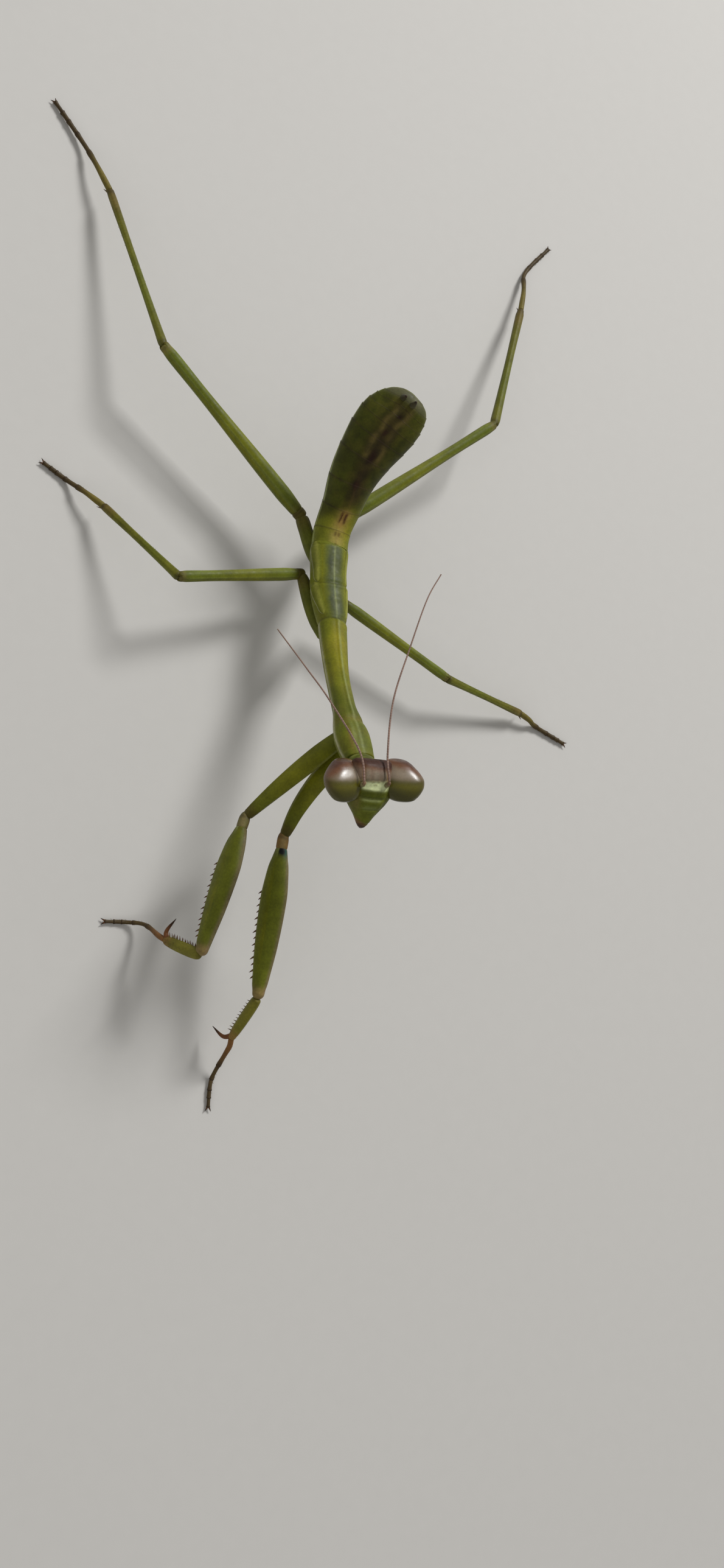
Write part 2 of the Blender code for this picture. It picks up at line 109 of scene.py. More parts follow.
def lamp(name, place, size, power, glints=True):
    """A square soft lamp that faces the model. A fill lamp shows no reflection of itself."""
    light = bpy.data.lights.new(name, "AREA")
    light.size, light.energy = size, power
    holder = bpy.data.objects.new(name, light)
    away = np.array(place) / np.linalg.norm(place)
    aside = np.cross((0, 0, 1), away) / np.linalg.norm(np.cross((0, 0, 1), away))
    turned = Matrix((aside, np.cross(away, aside), away)).transposed()
    holder.matrix_world = Matrix.Translation(place) @ turned.to_4x4()
    holder.visible_glossy = glints
    bpy.context.scene.collection.objects.link(holder)


lamp("high_lamp", tuple(LAMP_FAR * part for part in LAMP_WAY), LAMP_SIZE, LAMP_POWER)
lamp("front_fill", FILL_PLACE, FILL_SIZE, FILL_POWER, glints=False)

room = bpy.data.worlds.new("pale room")
room.use_nodes = True
room.node_tree.nodes["Background"].inputs["Color"].default_value = ROOM_COLOUR
room.node_tree.nodes["Background"].inputs["Strength"].default_value = ROOM_STRENGTH
bpy.context.scene.world = room
bpy.context.scene.view_settings.view_transform = "Standard"

camera_data = bpy.data.cameras.new("camera")
camera_data.sensor_fit, camera_data.sensor_height = "VERTICAL", FILM_HEIGHT
camera_data.lens = LENS
camera_data.clip_start, camera_data.clip_end = NEAREST, FARTHEST
camera = bpy.data.objects.new("camera", camera_data)
camera_turn = Matrix(CAMERA_AXES).transposed().to_4x4()
camera.matrix_world = Matrix.Translation(CAMERA_PLACE) @ camera_turn
bpy.context.scene.collection.objects.link(camera)
bpy.context.scene.camera = camera

# ---------------------------------------------------------------- the trunk
# The waisted front shield, the two short shields behind it and the ten rings of the abdomen are
# one continuous shell of hardened cuticle. Each plate's rear edge stands a little over the next.

MM = 0.001
CENTRE_OF_BOX = np.array((1.352, -0.835, 0.0))
UP = np.array((0.0, 0.0, 1.0))
SHIELD_HALF_WIDTH, BODY_HALF_WIDTH, ABDOMEN_HALF_WIDTH = 1.36, 1.5, 2.4
NECK_END = (-1.5, -15.2, 13.2)
WIDEST = (-1.5, -12.4, 11.5)
WAIST = (-1.15, -8.2, 8.9)
SHIELD_END = (-0.45, -3.35, 6.4)
MIDDLE_END = (-0.38, -0.35, 5.6)
REAR_END = (-0.12, 2.65, 5.2)
SHIELD_BORDER, MIDDLE_BORDER, REAR_BORDER = 2.87, 3.84, 4.90  # where the shields' rear edges are
SPAN_STEPS, RING_POINTS, TRUNK_CORNER = 30, 120, 0.90
ABDOMEN_LENGTH, ABDOMEN_STEPS, BLEND_STEP = 13.15, 120, 12
START_RISE, BENT_RISE, END_RISE = math.radians(4), math.radians(34), math.radians(44.5)
BEND_SHARE, END_TURN = 0.25, math.radians(39)
SIDE_BOW, BOW_PLACE, BOW_WIDTH = 0.26, 0.24, 0.15
END_SKEW, SKEW_HALF = 0.62, 1.8
# where each ring of the abdomen ends, and the rows of points within one ring
RING_EDGES = np.array((0.0, 0.10, 0.25, 0.41, 0.57, 0.70, 0.795, 0.865, 0.92, 0.96, 1.0))
RING_ROWS = (0.0, 0.03, 0.08, 0.18, 0.32, 0.48, 0.64, 0.78, 0.88, 0.94, 0.975, 0.994)
TRUNK_SIZES = [  # half width, then rows of place, share of that half width, half height
    (SHIELD_HALF_WIDTH, ((0.0, 0.80, 0.84), (0.30, 0.88, 0.97), (0.66, 0.92, 1.06),
                         (1.0, 0.80, 0.95), (1.4, 0.59, 0.82), (1.9, 0.60, 0.82),
                         (2.55, 0.74, 0.86), (3.0, 0.82, 0.95))),
    (BODY_HALF_WIDTH, ((3.25, 0.84, 1.03), (3.85, 0.93, 1.10), (4.25, 0.90, 1.12),
                       (4.85, 0.96, 1.14))),
    (ABDOMEN_HALF_WIDTH, ((5.05, 0.585, 1.10), (5.2, 0.61, 1.20), (5.5, 0.81, 1.33),
                          (5.78, 1.0, 1.21), (5.9, 0.90, 0.96), (5.97, 0.70, 0.68),
                          (5.99, 0.54, 0.48), (6.0, 0.36, 0.30))),
]
TRUNK_ROWS = [(row[0], half * row[1], row[2]) for half, rows in TRUNK_SIZES for row in rows]

LEAF_GREEN = (0.148, 0.162, 0.011)
YELLOW = (0.240, 0.215, 0.004)
DEEP_GREEN = (0.068, 0.086, 0.005)
BLUE_GREEN = (0.055, 0.070, 0.019)
CLOUDED_GREEN = (0.078, 0.098, 0.040)
RIGHT_SHADOW = (0.020, 0.029, 0.011)
LEFT_SHADOW = (0.024, 0.032, 0.010)
PALE_GREEN = (0.26, 0.29, 0.10)
EDGE_GREEN = (0.30, 0.34, 0.12)
GREY_GREEN = (0.110, 0.108, 0.058)
CREAM = (0.44, 0.43, 0.26)
TAN = (0.30, 0.19, 0.085)
BASE_TAN = (0.46, 0.34, 0.09)
ORANGE_BROWN = (0.23, 0.115, 0.035)
PATCH_ORANGE = (0.30, 0.150, 0.035)
BLOTCH_TAN = (0.16, 0.115, 0.034)
OLIVE_BROWN = (0.085, 0.066, 0.010)
DARK_OLIVE = (0.040, 0.038, 0.003)
BLACK_OLIVE = (0.026, 0.020, 0.005)
BAND_BROWN = (0.040, 0.024, 0.009)
MARK_BROWN = (0.060, 0.016, 0.006)
SPOT_BROWN = (0.026, 0.009, 0.005)
DARK_BROWN = (0.030, 0.016, 0.009)


def unit(vector):
    vector = np.asarray(vector, float)
    return vector / np.linalg.norm(vector, axis=-1, keepdims=True)


def smooth_path(points, steps):
    """Points on one smooth curve through the given ones, with so many steps to each span."""
    points = np.asarray(points, float)
    knots = np.vstack([2 * points[0] - points[1], points, 2 * points[-1] - points[-2]])
    path = []
    for before, start, end, after in zip(knots, knots[1:], knots[2:], knots[3:]):
        for i in range(steps):
            share = i / steps
            square = (2 * before - 5 * start + 4 * end - after) * share**2
            cube = (3 * start - before - 3 * end + after) * share**3
            path.append(0.5 * (2 * start + (end - before) * share + square + cube))
    return np.array([*path, points[-1]])


def travelled(path):
    steps = np.linalg.norm(np.diff(path, axis=0), axis=1)
    return np.concatenate([[0.0], np.cumsum(steps)])


def resampled(path, shares):
    """The points at these shares of a path's length."""
    run = travelled(path)
    return np.stack([np.interp(shares * run[-1], run, path[:, i]) for i in range(3)], 1)


def headings(path):
    return unit(np.gradient(path, travelled(path), axis=0))


def eased(table, places):
    """A smooth curve through the rows (place, value, value, ...) of a table, read at places."""
    rows = np.array(table, float)
    stops, values = rows[:, 0], rows[:, 1:]
    slope = np.diff(values, axis=0) / np.diff(stops)[:, None]
    inner = (slope[1:] + slope[:-1]) / 2 * (slope[1:] * slope[:-1] > 0)
    lean = np.vstack([slope[:1], inner, slope[-1:]])
    places = np.clip(places, stops[0], stops[-1])
    i = np.clip(np.searchsorted(stops, places, side="right") - 1, 0, len(stops) - 2)
    span = (stops[i + 1] - stops[i])[:, None]
    part = (places - stops[i])[:, None] / span
    start = (2 * part**3 - 3 * part**2 + 1) * values[i]
    start_lean = (part**3 - 2 * part**2 + part) * span * lean[i]
    end_lean = (part**3 - part**2) * span * lean[i + 1]
    return start + start_lean + (3 * part**2 - 2 * part**3) * values[i + 1] + end_lean


def hump(value, middle, width):
    return np.exp(-(((value - middle) / width) ** 2))


def humps(value, middles, width):
    return sum(hump(value, middle, width) for middle in middles)


def step(value, edge, width):
    return 1 / (1 + np.exp(-np.clip((value - edge) / width * 4, -60, 60)))


def boxed(value, low, high, soft):
    return step(value, low, soft) * (1 - step(value, high, soft))


def clouded(along, across, seed, fine):
    """A soft random cloud over a surface, from -1 to 1, with so many patches to each unit."""
    cells = 64
    table = np.random.default_rng(seed).uniform(-1, 1, (cells, cells))
    along, across = np.broadcast_arrays(along * fine + cells / 2, across * fine + cells / 2)
    row = np.clip(np.floor(along).astype(int), 0, cells - 2)
    place = np.clip(np.floor(across).astype(int), 0, cells - 2)
    down_share, side_share = np.clip(along - row, 0, 1), np.clip(across - place, 0, 1)
    down_share = down_share**2 * (3 - 2 * down_share)
    side_share = side_share**2 * (3 - 2 * side_share)
    near = table[row, place] * (1 - side_share) + table[row, place + 1] * side_share
    far = table[row + 1, place] * (1 - side_share) + table[row + 1, place + 1] * side_share
    return near * (1 - down_share) + far * down_share


def painted(base, size, marks):
    """A coat of one colour on a grid, with each mark (colour, strength) laid over the last."""
    coat = np.ones((*size, 3)) * base
    for colour, strength in marks:
        strength = np.clip(strength, 0, 1)[..., None]
        coat = coat * (1 - strength) + np.asarray(colour) * strength
    return coat


def turns(count):
    return (2 * np.pi * np.arange(count) / count)[None, :]


def oval(turn, half_width, half_height, corner=1.0):
    """Offsets across and upward round each ring. A corner under 1 gives fuller corners."""
    cosine, sine = np.cos(turn), np.sin(turn)
    across = np.sign(cosine) * np.abs(cosine) ** corner * half_width
    upward = np.sign(sine) * np.abs(sine) ** corner * half_height
    return np.stack(np.broadcast_arrays(across, upward), -1)


def lifted(offsets, height):
    """Moves ring offsets outwards from the path by a height."""
    return offsets + unit(offsets + 1e-9) * height[..., None]


def ring_grid(path, upward, offsets, ways=None):
    """Rings of points round a path. upward is one direction, or one for each point."""
    along = headings(path) if ways is None else ways
    upward = np.broadcast_to(np.asarray(upward, float), path.shape)
    upward = unit(upward - along * (upward * along).sum(1, keepdims=True))
    across = np.cross(upward, along)
    spread = offsets[..., :1] * across[:, None] + offsets[..., 1:] * upward[:, None]
    return path[:, None] + spread


def shell_of(grid, tint):
    """A closed skin from rings of points, with its faces outward and its poles shut."""
    rows, count = grid.shape[:2]
    tint = np.broadcast_to(tint, grid.shape)
    points = np.vstack([grid.reshape(-1, 3), grid[0].mean(0), grid[-1].mean(0)])
    tints = np.vstack([tint.reshape(-1, 3), tint[0].mean(0), tint[-1].mean(0)])
    here = np.arange(rows * count).reshape(rows, count)
    beside = np.roll(here, -1, axis=1)
    quads = np.stack([here[:-1], beside[:-1], beside[1:], here[1:]], -1).reshape(-1, 4)
    first_pole = [(rows * count, right, left) for left, right in zip(here[0], beside[0])]
    last_pole = [(rows * count + 1, left, right) for left, right in zip(here[-1], beside[-1])]
    return points, quads.tolist() + first_pole + last_pole, tints


def mesh_of(name, shells):
    points, faces, tints, used = [], [], [], 0
    for shell_points, shell_faces, shell_tints in shells:
        points.append(shell_points)
        tints.append(shell_tints)
        faces.extend([tuple(i + used for i in face) for face in shell_faces])
        used += len(shell_points)
    mesh = bpy.data.meshes.new(name)
    mesh.from_pydata(((np.vstack(points) - CENTRE_OF_BOX) * MM).tolist(), [], faces)
    colours = np.hstack([np.vstack(tints), np.ones((used, 1))]).astype(np.float32)
    stored = mesh.attributes.new("tint", "FLOAT_COLOR", "POINT")
    stored.data.foreach_set("color", colours.ravel())
    mesh.shade_smooth()
    return mesh


def stands_for(piece, finish, nodes):
    """Gives a finished piece its finish, its body and the parts of the frame it covers."""
    piece.data.materials.clear()
    piece.data.materials.append(finish)
    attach(piece, "root")
    if nodes:
        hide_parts(*nodes)


def piece_of(name, shells, finish, nodes=()):
    piece = bpy.data.objects.new(name, mesh_of(name, shells))
    bpy.context.scene.collection.objects.link(piece)
    stands_for(piece, finish, nodes)


GLOW_REACH, GLOW_COLOURS = 0.0003, (0.9, 1.0, 0.35)
CLOUD_SCALE, SPECKLE_SCALE, SHEEN_SCALE = 900, 6500, 3000


def cuticle(name, roughness, pit_scale, pit_depth, blotch=0.20, gloss=0.20, through=0.08):
    """Painted cuticle: the shell's own tint, clouded and speckled, with fine pits."""
    finish = bpy.data.materials.new(name)
    finish.use_nodes = True
    tree = finish.node_tree
    place = add_node(tree, "ShaderNodeTexCoord").outputs["Object"]
    colour = add_node(tree, "ShaderNodeAttribute", attribute_name="tint").outputs["Color"]
    pits = add_node(tree, "ShaderNodeTexVoronoi", {"Scale": pit_scale, "Vector": place})
    pits = pits.outputs["Distance"]

    def shades(value, low, high, low_at=0.3, high_at=0.7):
        return add_ramp(tree, value, (low, low, low), (high, high, high), low_at, high_at)

    layers = (
        shades(add_cloud(tree, place, CLOUD_SCALE, 3), 1 - blotch, 1 + blotch * 0.8),
        shades(add_cloud(tree, place, SPECKLE_SCALE), 1 - blotch * 0.7, 1 + blotch * 0.5),
        shades(pits, 1 - blotch * 0.6, 1.05, 0.1, 0.5),
    )
    for layer in layers:
        both = {"Factor": 1.0, "A": colour, "B": layer}
        mix = add_node(tree, "ShaderNodeMix", both, data_type="RGBA", blend_type="MULTIPLY")
        colour = mix.outputs["Result"]
    sheen = add_cloud(tree, place, SHEEN_SCALE)
    relief = {"Strength": 0.6, "Distance": pit_depth, "Height": pits}
    shell = {
        "Base Color": colour,
        "Roughness": shades(sheen, roughness - 0.07, roughness + 0.1),
        "Normal": add_node(tree, "ShaderNodeBump", relief).outputs["Normal"],
        "Specular IOR Level": gloss,
        "Subsurface Weight": through,
        "Subsurface Radius": GLOW_COLOURS,
        "Subsurface Scale": GLOW_REACH,
    }
    fill_in(tree, tree.nodes["Principled BSDF"], shell)
    return finish


green_cuticle = cuticle("green cuticle", 0.50, 26000, 0.5e-5)


def abdomen_line():
    """The abdomen's axis, which turns up and a little to the animal's left."""
    path, point = [np.array(REAR_END)], np.array(REAR_END)
    for i in range(ABDOMEN_STEPS):
        share = (i + 0.5) / ABDOMEN_STEPS
        bend = min(1.0, share / BEND_SHARE)
        bend = bend * bend * (3 - 2 * bend)
        rise = START_RISE + (BENT_RISE - START_RISE) * bend + (END_RISE - BENT_RISE) * share
        turned, level = END_TURN * share, math.cos(rise)
        along = np.array((math.sin(turned) * level, math.cos(turned) * level, math.sin(rise)))
        point = point + along * ABDOMEN_LENGTH / ABDOMEN_STEPS
        path.append(point)
    path = np.array(path)
    path[:, 0] += SIDE_BOW * hump(np.linspace(0, 1, ABDOMEN_STEPS + 1), BOW_PLACE, BOW_WIDTH)
    return path


# Places on the trunk run from 0: to 3 on the front shield, to 4 and 5 on the next two shields,
# and to 6 on the abdomen.
abdomen_axis = abdomen_line()
thorax_stops = [NECK_END, WIDEST, WAIST, SHIELD_END, MIDDLE_END, REAR_END]
thorax_axis = smooth_path([*thorax_stops, abdomen_axis[BLEND_STEP]], SPAN_STEPS)
thorax_places = np.arange(5 * SPAN_STEPS) / SPAN_STEPS
ring_lengths = np.diff(RING_EDGES)
abdomen_shares = (RING_EDGES[:-1, None] + ring_lengths[:, None] * RING_ROWS).ravel()
abdomen_shares = np.append(abdomen_shares, 1.0)
trunk_axis = np.vstack([thorax_axis[: 5 * SPAN_STEPS], resampled(abdomen_axis, abdomen_shares)])
trunk_places = np.concatenate([thorax_places, 5 + abdomen_shares])
trunk_ways = headings(trunk_axis)


def share_of_ring(place):
    """How far back in its own ring each place on the abdomen lies."""
    share = np.clip(place - 5, 0, 1)
    number = np.searchsorted(RING_EDGES, share, side="right") - 1
    number = np.clip(number, 0, len(ring_lengths) - 1)
    return (share - RING_EDGES[number]) / ring_lengths[number]


def trunk_offsets(place, turn):
    """The trunk's section: roof-like above, with sharp side margins and a keel."""
    sizes = eased(TRUNK_ROWS, place)
    offsets = oval(turn, sizes[:, :1], sizes[:, 1:], TRUNK_CORNER)
    back = share_of_ring(place)[:, None]
    place = place[:, None]
    top = np.clip(np.sin(turn), 0, 1)
    keel = np.pi / 2
    margin = humps(turn, (0.06, 2 * np.pi + 0.06, np.pi - 0.06), 0.16)
    corner = humps(turn, (0.0, 2 * np.pi, np.pi), 0.10)
    shield = step(place, 0.12, 0.08) * (1 - step(place, SHIELD_BORDER, 0.03))
    abdomen = step(place, 5.0, 0.02)
    height = margin * (0.07 * shield + 0.02 * abdomen * back**2)
    height = height + 0.075 * hump(turn, keel, 0.09) * shield * step(place, 1.05, 0.1)
    height = height + 0.03 * hump(turn, keel, 0.08) * abdomen
    # the cross groove of the front shield, and its folded front rim
    height = height - 0.10 * hump(place, 0.98, 0.06) * top
    height = height + 0.01 * hump(place, 0.05, 0.05) - 0.015 * hump(place, 0.16, 0.05)
    # each shield's rear edge laps over the next
    height = height + 0.05 * hump(place, SHIELD_BORDER - 0.05, 0.05) * top
    height = height - 0.09 * hump(place, SHIELD_BORDER + 0.05, 0.04)
    height = height + 0.03 * hump(place, MIDDLE_BORDER - 0.05, 0.05) * top
    height = height - 0.07 * hump(place, MIDDLE_BORDER + 0.04, 0.04)
    height = height - 0.05 * hump(place, REAR_BORDER, 0.03)
    # so does each ring, whose rear corner ends in a small tooth
    height = height + abdomen * (1 - step(place, 5.95, 0.02)) * (0.014 * back**2 - 0.005)
    height = height + abdomen * 0.035 * corner * back**8
    return lifted(offsets, height)


def on_trunk(place, turn, lift):
    """Points on the trunk's skin, or lifted from it. All three are arrays of one shape."""
    spots = [np.interp(place[:, 0], trunk_places, trunk_axis[:, i]) for i in range(3)]
    ways = [np.interp(place[:, 0], trunk_places, trunk_ways[:, i]) for i in range(3)]
    skin_offsets = [trunk_offsets(place[:, i], turn[:, i : i + 1]) for i in range(turn.shape[1])]
    offsets = lifted(np.concatenate(skin_offsets, 1), lift)
    return ring_grid(np.stack(spots, 1), UP, offsets, np.stack(ways, 1))


turn = turns(RING_POINTS)
place = trunk_places[:, None]
offsets = trunk_offsets(trunk_places, turn)
side = offsets[..., 0]
back = share_of_ring(trunk_places)[:, None]
rearward = place - 5

shield = 1 - step(place, SHIELD_BORDER, 0.03)
shield_cloud = clouded(place * 4.5, side, 25, 1.1)
shield_keel = hump(side, -0.08, 0.10) * step(np.sin(turn), 0.3, 0.1)
shield_marks = [
    (YELLOW, 0.9 * hump(place, 2.35, 0.6) * hump(side, -0.05, 0.75)),
    (DEEP_GREEN, 0.5 * hump(place, 1.25, 0.3)),
    (DEEP_GREEN, 0.45 * hump(side, -0.35, 0.4) * hump(place, 0.45, 0.5)),
    (DEEP_GREEN, 0.28 * step(shield_cloud, 0.1, 0.6)),
    (ORANGE_BROWN, 0.07 * step(-shield_cloud, 0.2, 0.5)),
    (PALE_GREEN, 0.6 * shield_keel),
    (PALE_GREEN, 0.5 * hump(side, 0.35, 0.13) * hump(place, 0.5, 0.4)),
    (ORANGE_BROWN, 0.5 * hump(side, 0.62, 0.12) * hump(place, 0.45, 0.35)),
    (ORANGE_BROWN, 0.18 * hump(place, 0.98, 0.08)),
]

middle = step(place, SHIELD_BORDER, 0.03) * (1 - step(place, REAR_BORDER, 0.06))
middle_cloud = clouded(place * 3.1, side, 24, 2.2)
shaded_right = hump(side, 0.30, 0.22) * (hump(place, 3.3, 0.3) + hump(place, 4.3, 0.35))
shaded_left = hump(side, -0.40, 0.22) * (hump(place, 3.35, 0.3) + hump(place, 4.4, 0.3))
borders = hump(place, SHIELD_BORDER + 0.03, 0.02) + hump(place, MIDDLE_BORDER + 0.02, 0.02)
middle_marks = [
    (BLUE_GREEN, (0.8 + 0.15 * middle_cloud) * hump(side, 0.1 * middle_cloud, 0.62)),
    (CLOUDED_GREEN, 0.55 * step(middle_cloud, 0.1, 0.4) * hump(side, -0.1, 0.7)),
    (RIGHT_SHADOW, 0.65 * shaded_right),
    (LEFT_SHADOW, 0.50 * shaded_left),
    (PALE_GREEN, 0.55 * hump(side, 0.0, 0.07) * step(np.sin(turn), 0, 0.1)),
    (YELLOW, 0.30 * humps(side, (0.95, -0.95), 0.2)),
]

abdomen = step(place, REAR_BORDER, 0.04)
run_back = ABDOMEN_LENGTH * rearward
big_cloud = clouded(run_back, side, 21, 0.9)
fine_cloud = clouded(run_back, side, 22, 2.6)
wander = 0.16 * clouded(run_back, side, 23, 1.3)
past_base = step(rearward, 0.25, 0.06)
flanks = step(np.abs(side) / (0.2 + 2.2 * rearward), 0.55, 0.25)
# past its bend the abdomen is painted dark olive, partly its own colour and partly painted shade
# where its back turns from the light, with a slanting edge
olive_and_painted_shade = step(rearward, 0.245 - 0.07 * side, 0.07) * (1 - 0.28 * step(rearward, 0.80, 0.2))
brown_band = boxed(rearward, 0.30, 0.93, 0.08) * hump(side, -0.18 + wander, 0.55 + 0.2 * big_cloud)
beside_band = boxed(rearward, 0.58, 0.93, 0.06) * humps(side, (0.36 + wander, -0.62 + wander), 0.2)
base_patch = boxed(rearward, 0.00, 0.250, 0.03) * hump(side, -0.08, 0.50)
inner_patch = boxed(rearward, 0.13, 0.255, 0.02) * hump(side, -0.07, 0.36)
mark_rows = boxed(rearward, 0.168, 0.240, 0.010) + 0.65 * boxed(rearward, 0.052, 0.088, 0.008)
apart = 0.13 + 1.3 * np.abs(rearward - 0.205) * (rearward > 0.12)
twin_marks = hump(side, -0.06 + apart + wander * 0.5, 0.09)
twin_marks = twin_marks + hump(side, -0.08 - apart + wander * 0.5, 0.11)
SPOTS = (  # place along the abdomen, place across, half length, half width
    (0.42, -0.10, 0.030, 0.26),
    (0.60, -0.12, 0.05, 0.30),
    (0.75, -0.06, 0.03, 0.20),
    (0.87, -0.08, 0.016, 0.17),
)
abdomen_marks = [
    (LEAF_GREEN, 1),
    # the darker rear of the abdomen: its own olive with painted shade
    (DARK_OLIVE, 0.95 * olive_and_painted_shade),
    (DEEP_GREEN, 0.45 * step(rearward, 0.2, 0.1) * flanks),
    (YELLOW, 0.7 * hump(rearward, 0.13, 0.12) * hump(side, -0.35, 1.1)),
    (BAND_BROWN, 0.80 * brown_band),
    (BLOTCH_TAN, (0.62 + 0.38 * fine_cloud) * beside_band),
    (OLIVE_BROWN, 0.30 * past_base * step(fine_cloud + 0.4 * big_cloud, 0.15, 0.5)),
    (BLACK_OLIVE, 0.40 * past_base * step(-fine_cloud, 0.25, 0.5)),
    (BASE_TAN, (0.72 + 0.25 * fine_cloud) * base_patch),
    (PATCH_ORANGE, 0.5 * inner_patch),
    (MARK_BROWN, 0.97 * np.clip(1.25 * twin_marks - 0.12, 0, 1) * mark_rows),
]
for spot_place, spot_side, half_long, half_wide in SPOTS:
    spot = hump(rearward, spot_place + 0.01 * fine_cloud, half_long)
    spot = spot * hump(side, spot_side + wander, half_wide)
    abdomen_marks.append((SPOT_BROWN, 0.9 * np.clip(1.6 * spot - 0.25, 0, 1)))

right_edge = humps(turn, (0.02, 2 * np.pi), 0.11)
left_edge = hump(turn, np.pi - 0.02, 0.11)
ring_ends = (hump(back, 1.0, 0.05) + hump(back, 0.0, 0.03)) * step(rearward, 0.05, 0.02)
under = step(-np.sin(turn), 0.15, 0.25)
edge_marks = [
    (DARK_OLIVE, 0.5 * borders),
    (ORANGE_BROWN, 0.3 * abdomen * hump(side, -0.06, 0.05) * (1 - step(rearward, 0.45, 0.1))),
    (GREY_GREEN, 0.6 * step(place, 5.955, 0.02)),
    (CREAM, 0.85 * shield * right_edge),
    (ORANGE_BROWN, 0.7 * shield * left_edge),
    (EDGE_GREEN, 0.8 * abdomen * (left_edge + right_edge) ** 2),
    (DARK_BROWN, 0.6 * abdomen * (left_edge + right_edge) * hump(back, 0.96, 0.05)),
    (DARK_BROWN, 0.45 * abdomen * ring_ends),
    (PALE_GREEN, 0.30 * under),
]
regions = ((shield, shield_marks), (middle, middle_marks), (abdomen, abdomen_marks))
trunk_marks = [(colour, region * mark) for region, marks in regions for colour, mark in marks]
trunk_coat = painted(LEAF_GREEN, side.shape, trunk_marks + edge_marks)
# the abdomen's end is cut askew
skew = END_SKEW * np.clip(side / SKEW_HALF, 0, 1) ** 1.5 * step(rearward, 0.86, 0.14)
trunk_grid = ring_grid(trunk_axis, UP, offsets) - skew[..., None] * trunk_ways[:, None]
trunk_nodes = ["prothorax", "mesothorax", "metathorax"]
trunk_nodes += [f"abdomen_{number + 1}" for number in range(len(ring_lengths))]
trunk_shell = shell_of(trunk_grid, trunk_coat)
piece_of("trunk_skin", [trunk_shell], green_cuticle, trunk_nodes)

# ---------------------------------------------------------------- wing pads
# A young mantis has no wings yet, only four stiff lobes on its back that lie along the body.
# Each is a thin plate that grows out of its shield and has a pale raised rim.

PAD_THICKNESS, PAD_ROWS, PAD_POINTS = 0.075, 44, 40
PADS = {  # first and last place along the trunk, turn up its side at both, half width
    "wing_pad_front": (2.98, 3.93, 0.62, 0.34, 0.44),
    "wing_pad_rear": (3.90, 4.98, 0.60, 0.34, 0.42),
}
PAD_OUTLINE = [  # share of the length, share of the half width
    (0, 0.05), (0.06, 0.5), (0.3, 0.75), (0.6, 0.95), (0.8, 1.0), (0.9, 0.88), (0.97, 0.55),
    (1, 0.08),
]
PAD_YELLOW = (0.34, 0.34, 0.06)


def wing_pad(first, last, start_turn, end_turn, half, on_left):
    share = np.linspace(0, 1, PAD_ROWS)
    pad_turn = turns(PAD_POINTS)
    outline = eased(PAD_OUTLINE, share)
    middle = eased([(0, start_turn), (1, end_turn)], share)
    if on_left:
        middle = np.pi - middle
    outwards = np.cos(pad_turn) * (-1 if on_left else 1)
    across = np.cos(pad_turn) * np.abs(np.cos(pad_turn)) ** -0.2 * outline
    swell = np.where(np.sin(pad_turn) > 0, 0.45 + 0.35 * outwards, 0.8)
    lift = (0.02 + 0.05 * np.clip(outwards, 0, 1)) * share[:, None] ** 1.5 * outline
    plate = PAD_THICKNESS * np.sin(pad_turn) * swell * np.minimum(1.0, 1.3 * outline)
    along = first + (last - first) * share[:, None] + 0 * pad_turn
    grid = on_trunk(along, middle - half * across, lift + plate)
    marks = [
        (PAD_YELLOW, 0.65 * hump(outwards, -0.25, 0.40)),
        (DEEP_GREEN, 0.15 * hump(outwards, 0.30, 0.25)),
        (CREAM, 0.62 * step(outwards, 0.78, 0.16)),
    ]
    return shell_of(grid, painted(LEAF_GREEN, across.shape, marks))


for pad_name, measures in PADS.items():
    for pad_side, on_left in (("right", False), ("left", True)):
        pad_shell = wing_pad(*measures, on_left)
        piece_of(f"{pad_name}_{pad_side}", [pad_shell], green_cuticle)

# ---------------------------------------------------------------- neck
# A short soft neck in folded skin joins the head to the front shield.
# It runs on into both of them, so no gap shows between the folds and the hard plates.

HEAD_CENTRE = np.array((-1.5, -16.6, 14.9))
head_side = unit((0.995, 0.067, 0.058))
head_down = np.array((0.05, -0.90, -0.43))
head_down = unit(head_down - head_side * (head_down @ head_side))
head_front = np.cross(head_down, head_side)
NECK_STEPS, NECK_POINTS, FOLD_HEIGHT, FOLD_TURNS = 14, 56, 0.02, 40
NECK_GREEN = (0.15, 0.16, 0.03)


def head_point(across, down, out):
    return HEAD_CENTRE + head_side * across + head_down * down + head_front * out


neck_root = np.array(NECK_END) + 0.5 * unit(np.array(WIDEST) - NECK_END)
neck_stops = [neck_root, NECK_END, head_point(0, -0.55, -1.0), head_point(0, -0.2, -0.5)]
neck_axis = smooth_path(neck_stops, NECK_STEPS)
neck_share = np.linspace(0, 1, len(neck_axis))[:, None]
neck_turn = turns(NECK_POINTS)
folds = FOLD_HEIGHT * np.sin(neck_share * FOLD_TURNS) * (1 + 0.3 * np.sin(3 * neck_turn))
neck_oval = oval(neck_turn, 1.12 - 0.22 * neck_share, 0.74 - 0.14 * neck_share)
neck_grid = ring_grid(neck_axis, UP, lifted(neck_oval, folds))
# the hollows of the folds are painted deep green as shade, and the crests stay lighter
neck_coat = painted(NECK_GREEN, folds.shape, [(DEEP_GREEN, 0.5 - 20 * folds)])
neck_shell = shell_of(neck_grid, neck_coat)
piece_of("neck_skin", [neck_shell], green_cuticle, ["neck"])

# ---------------------------------------------------------------- head
# A flat three-cornered capsule of hard cuticle, with a raised frontal shield under the feelers,
# three small simple eyes on the brow, and the lip and jaws at its lower corner.

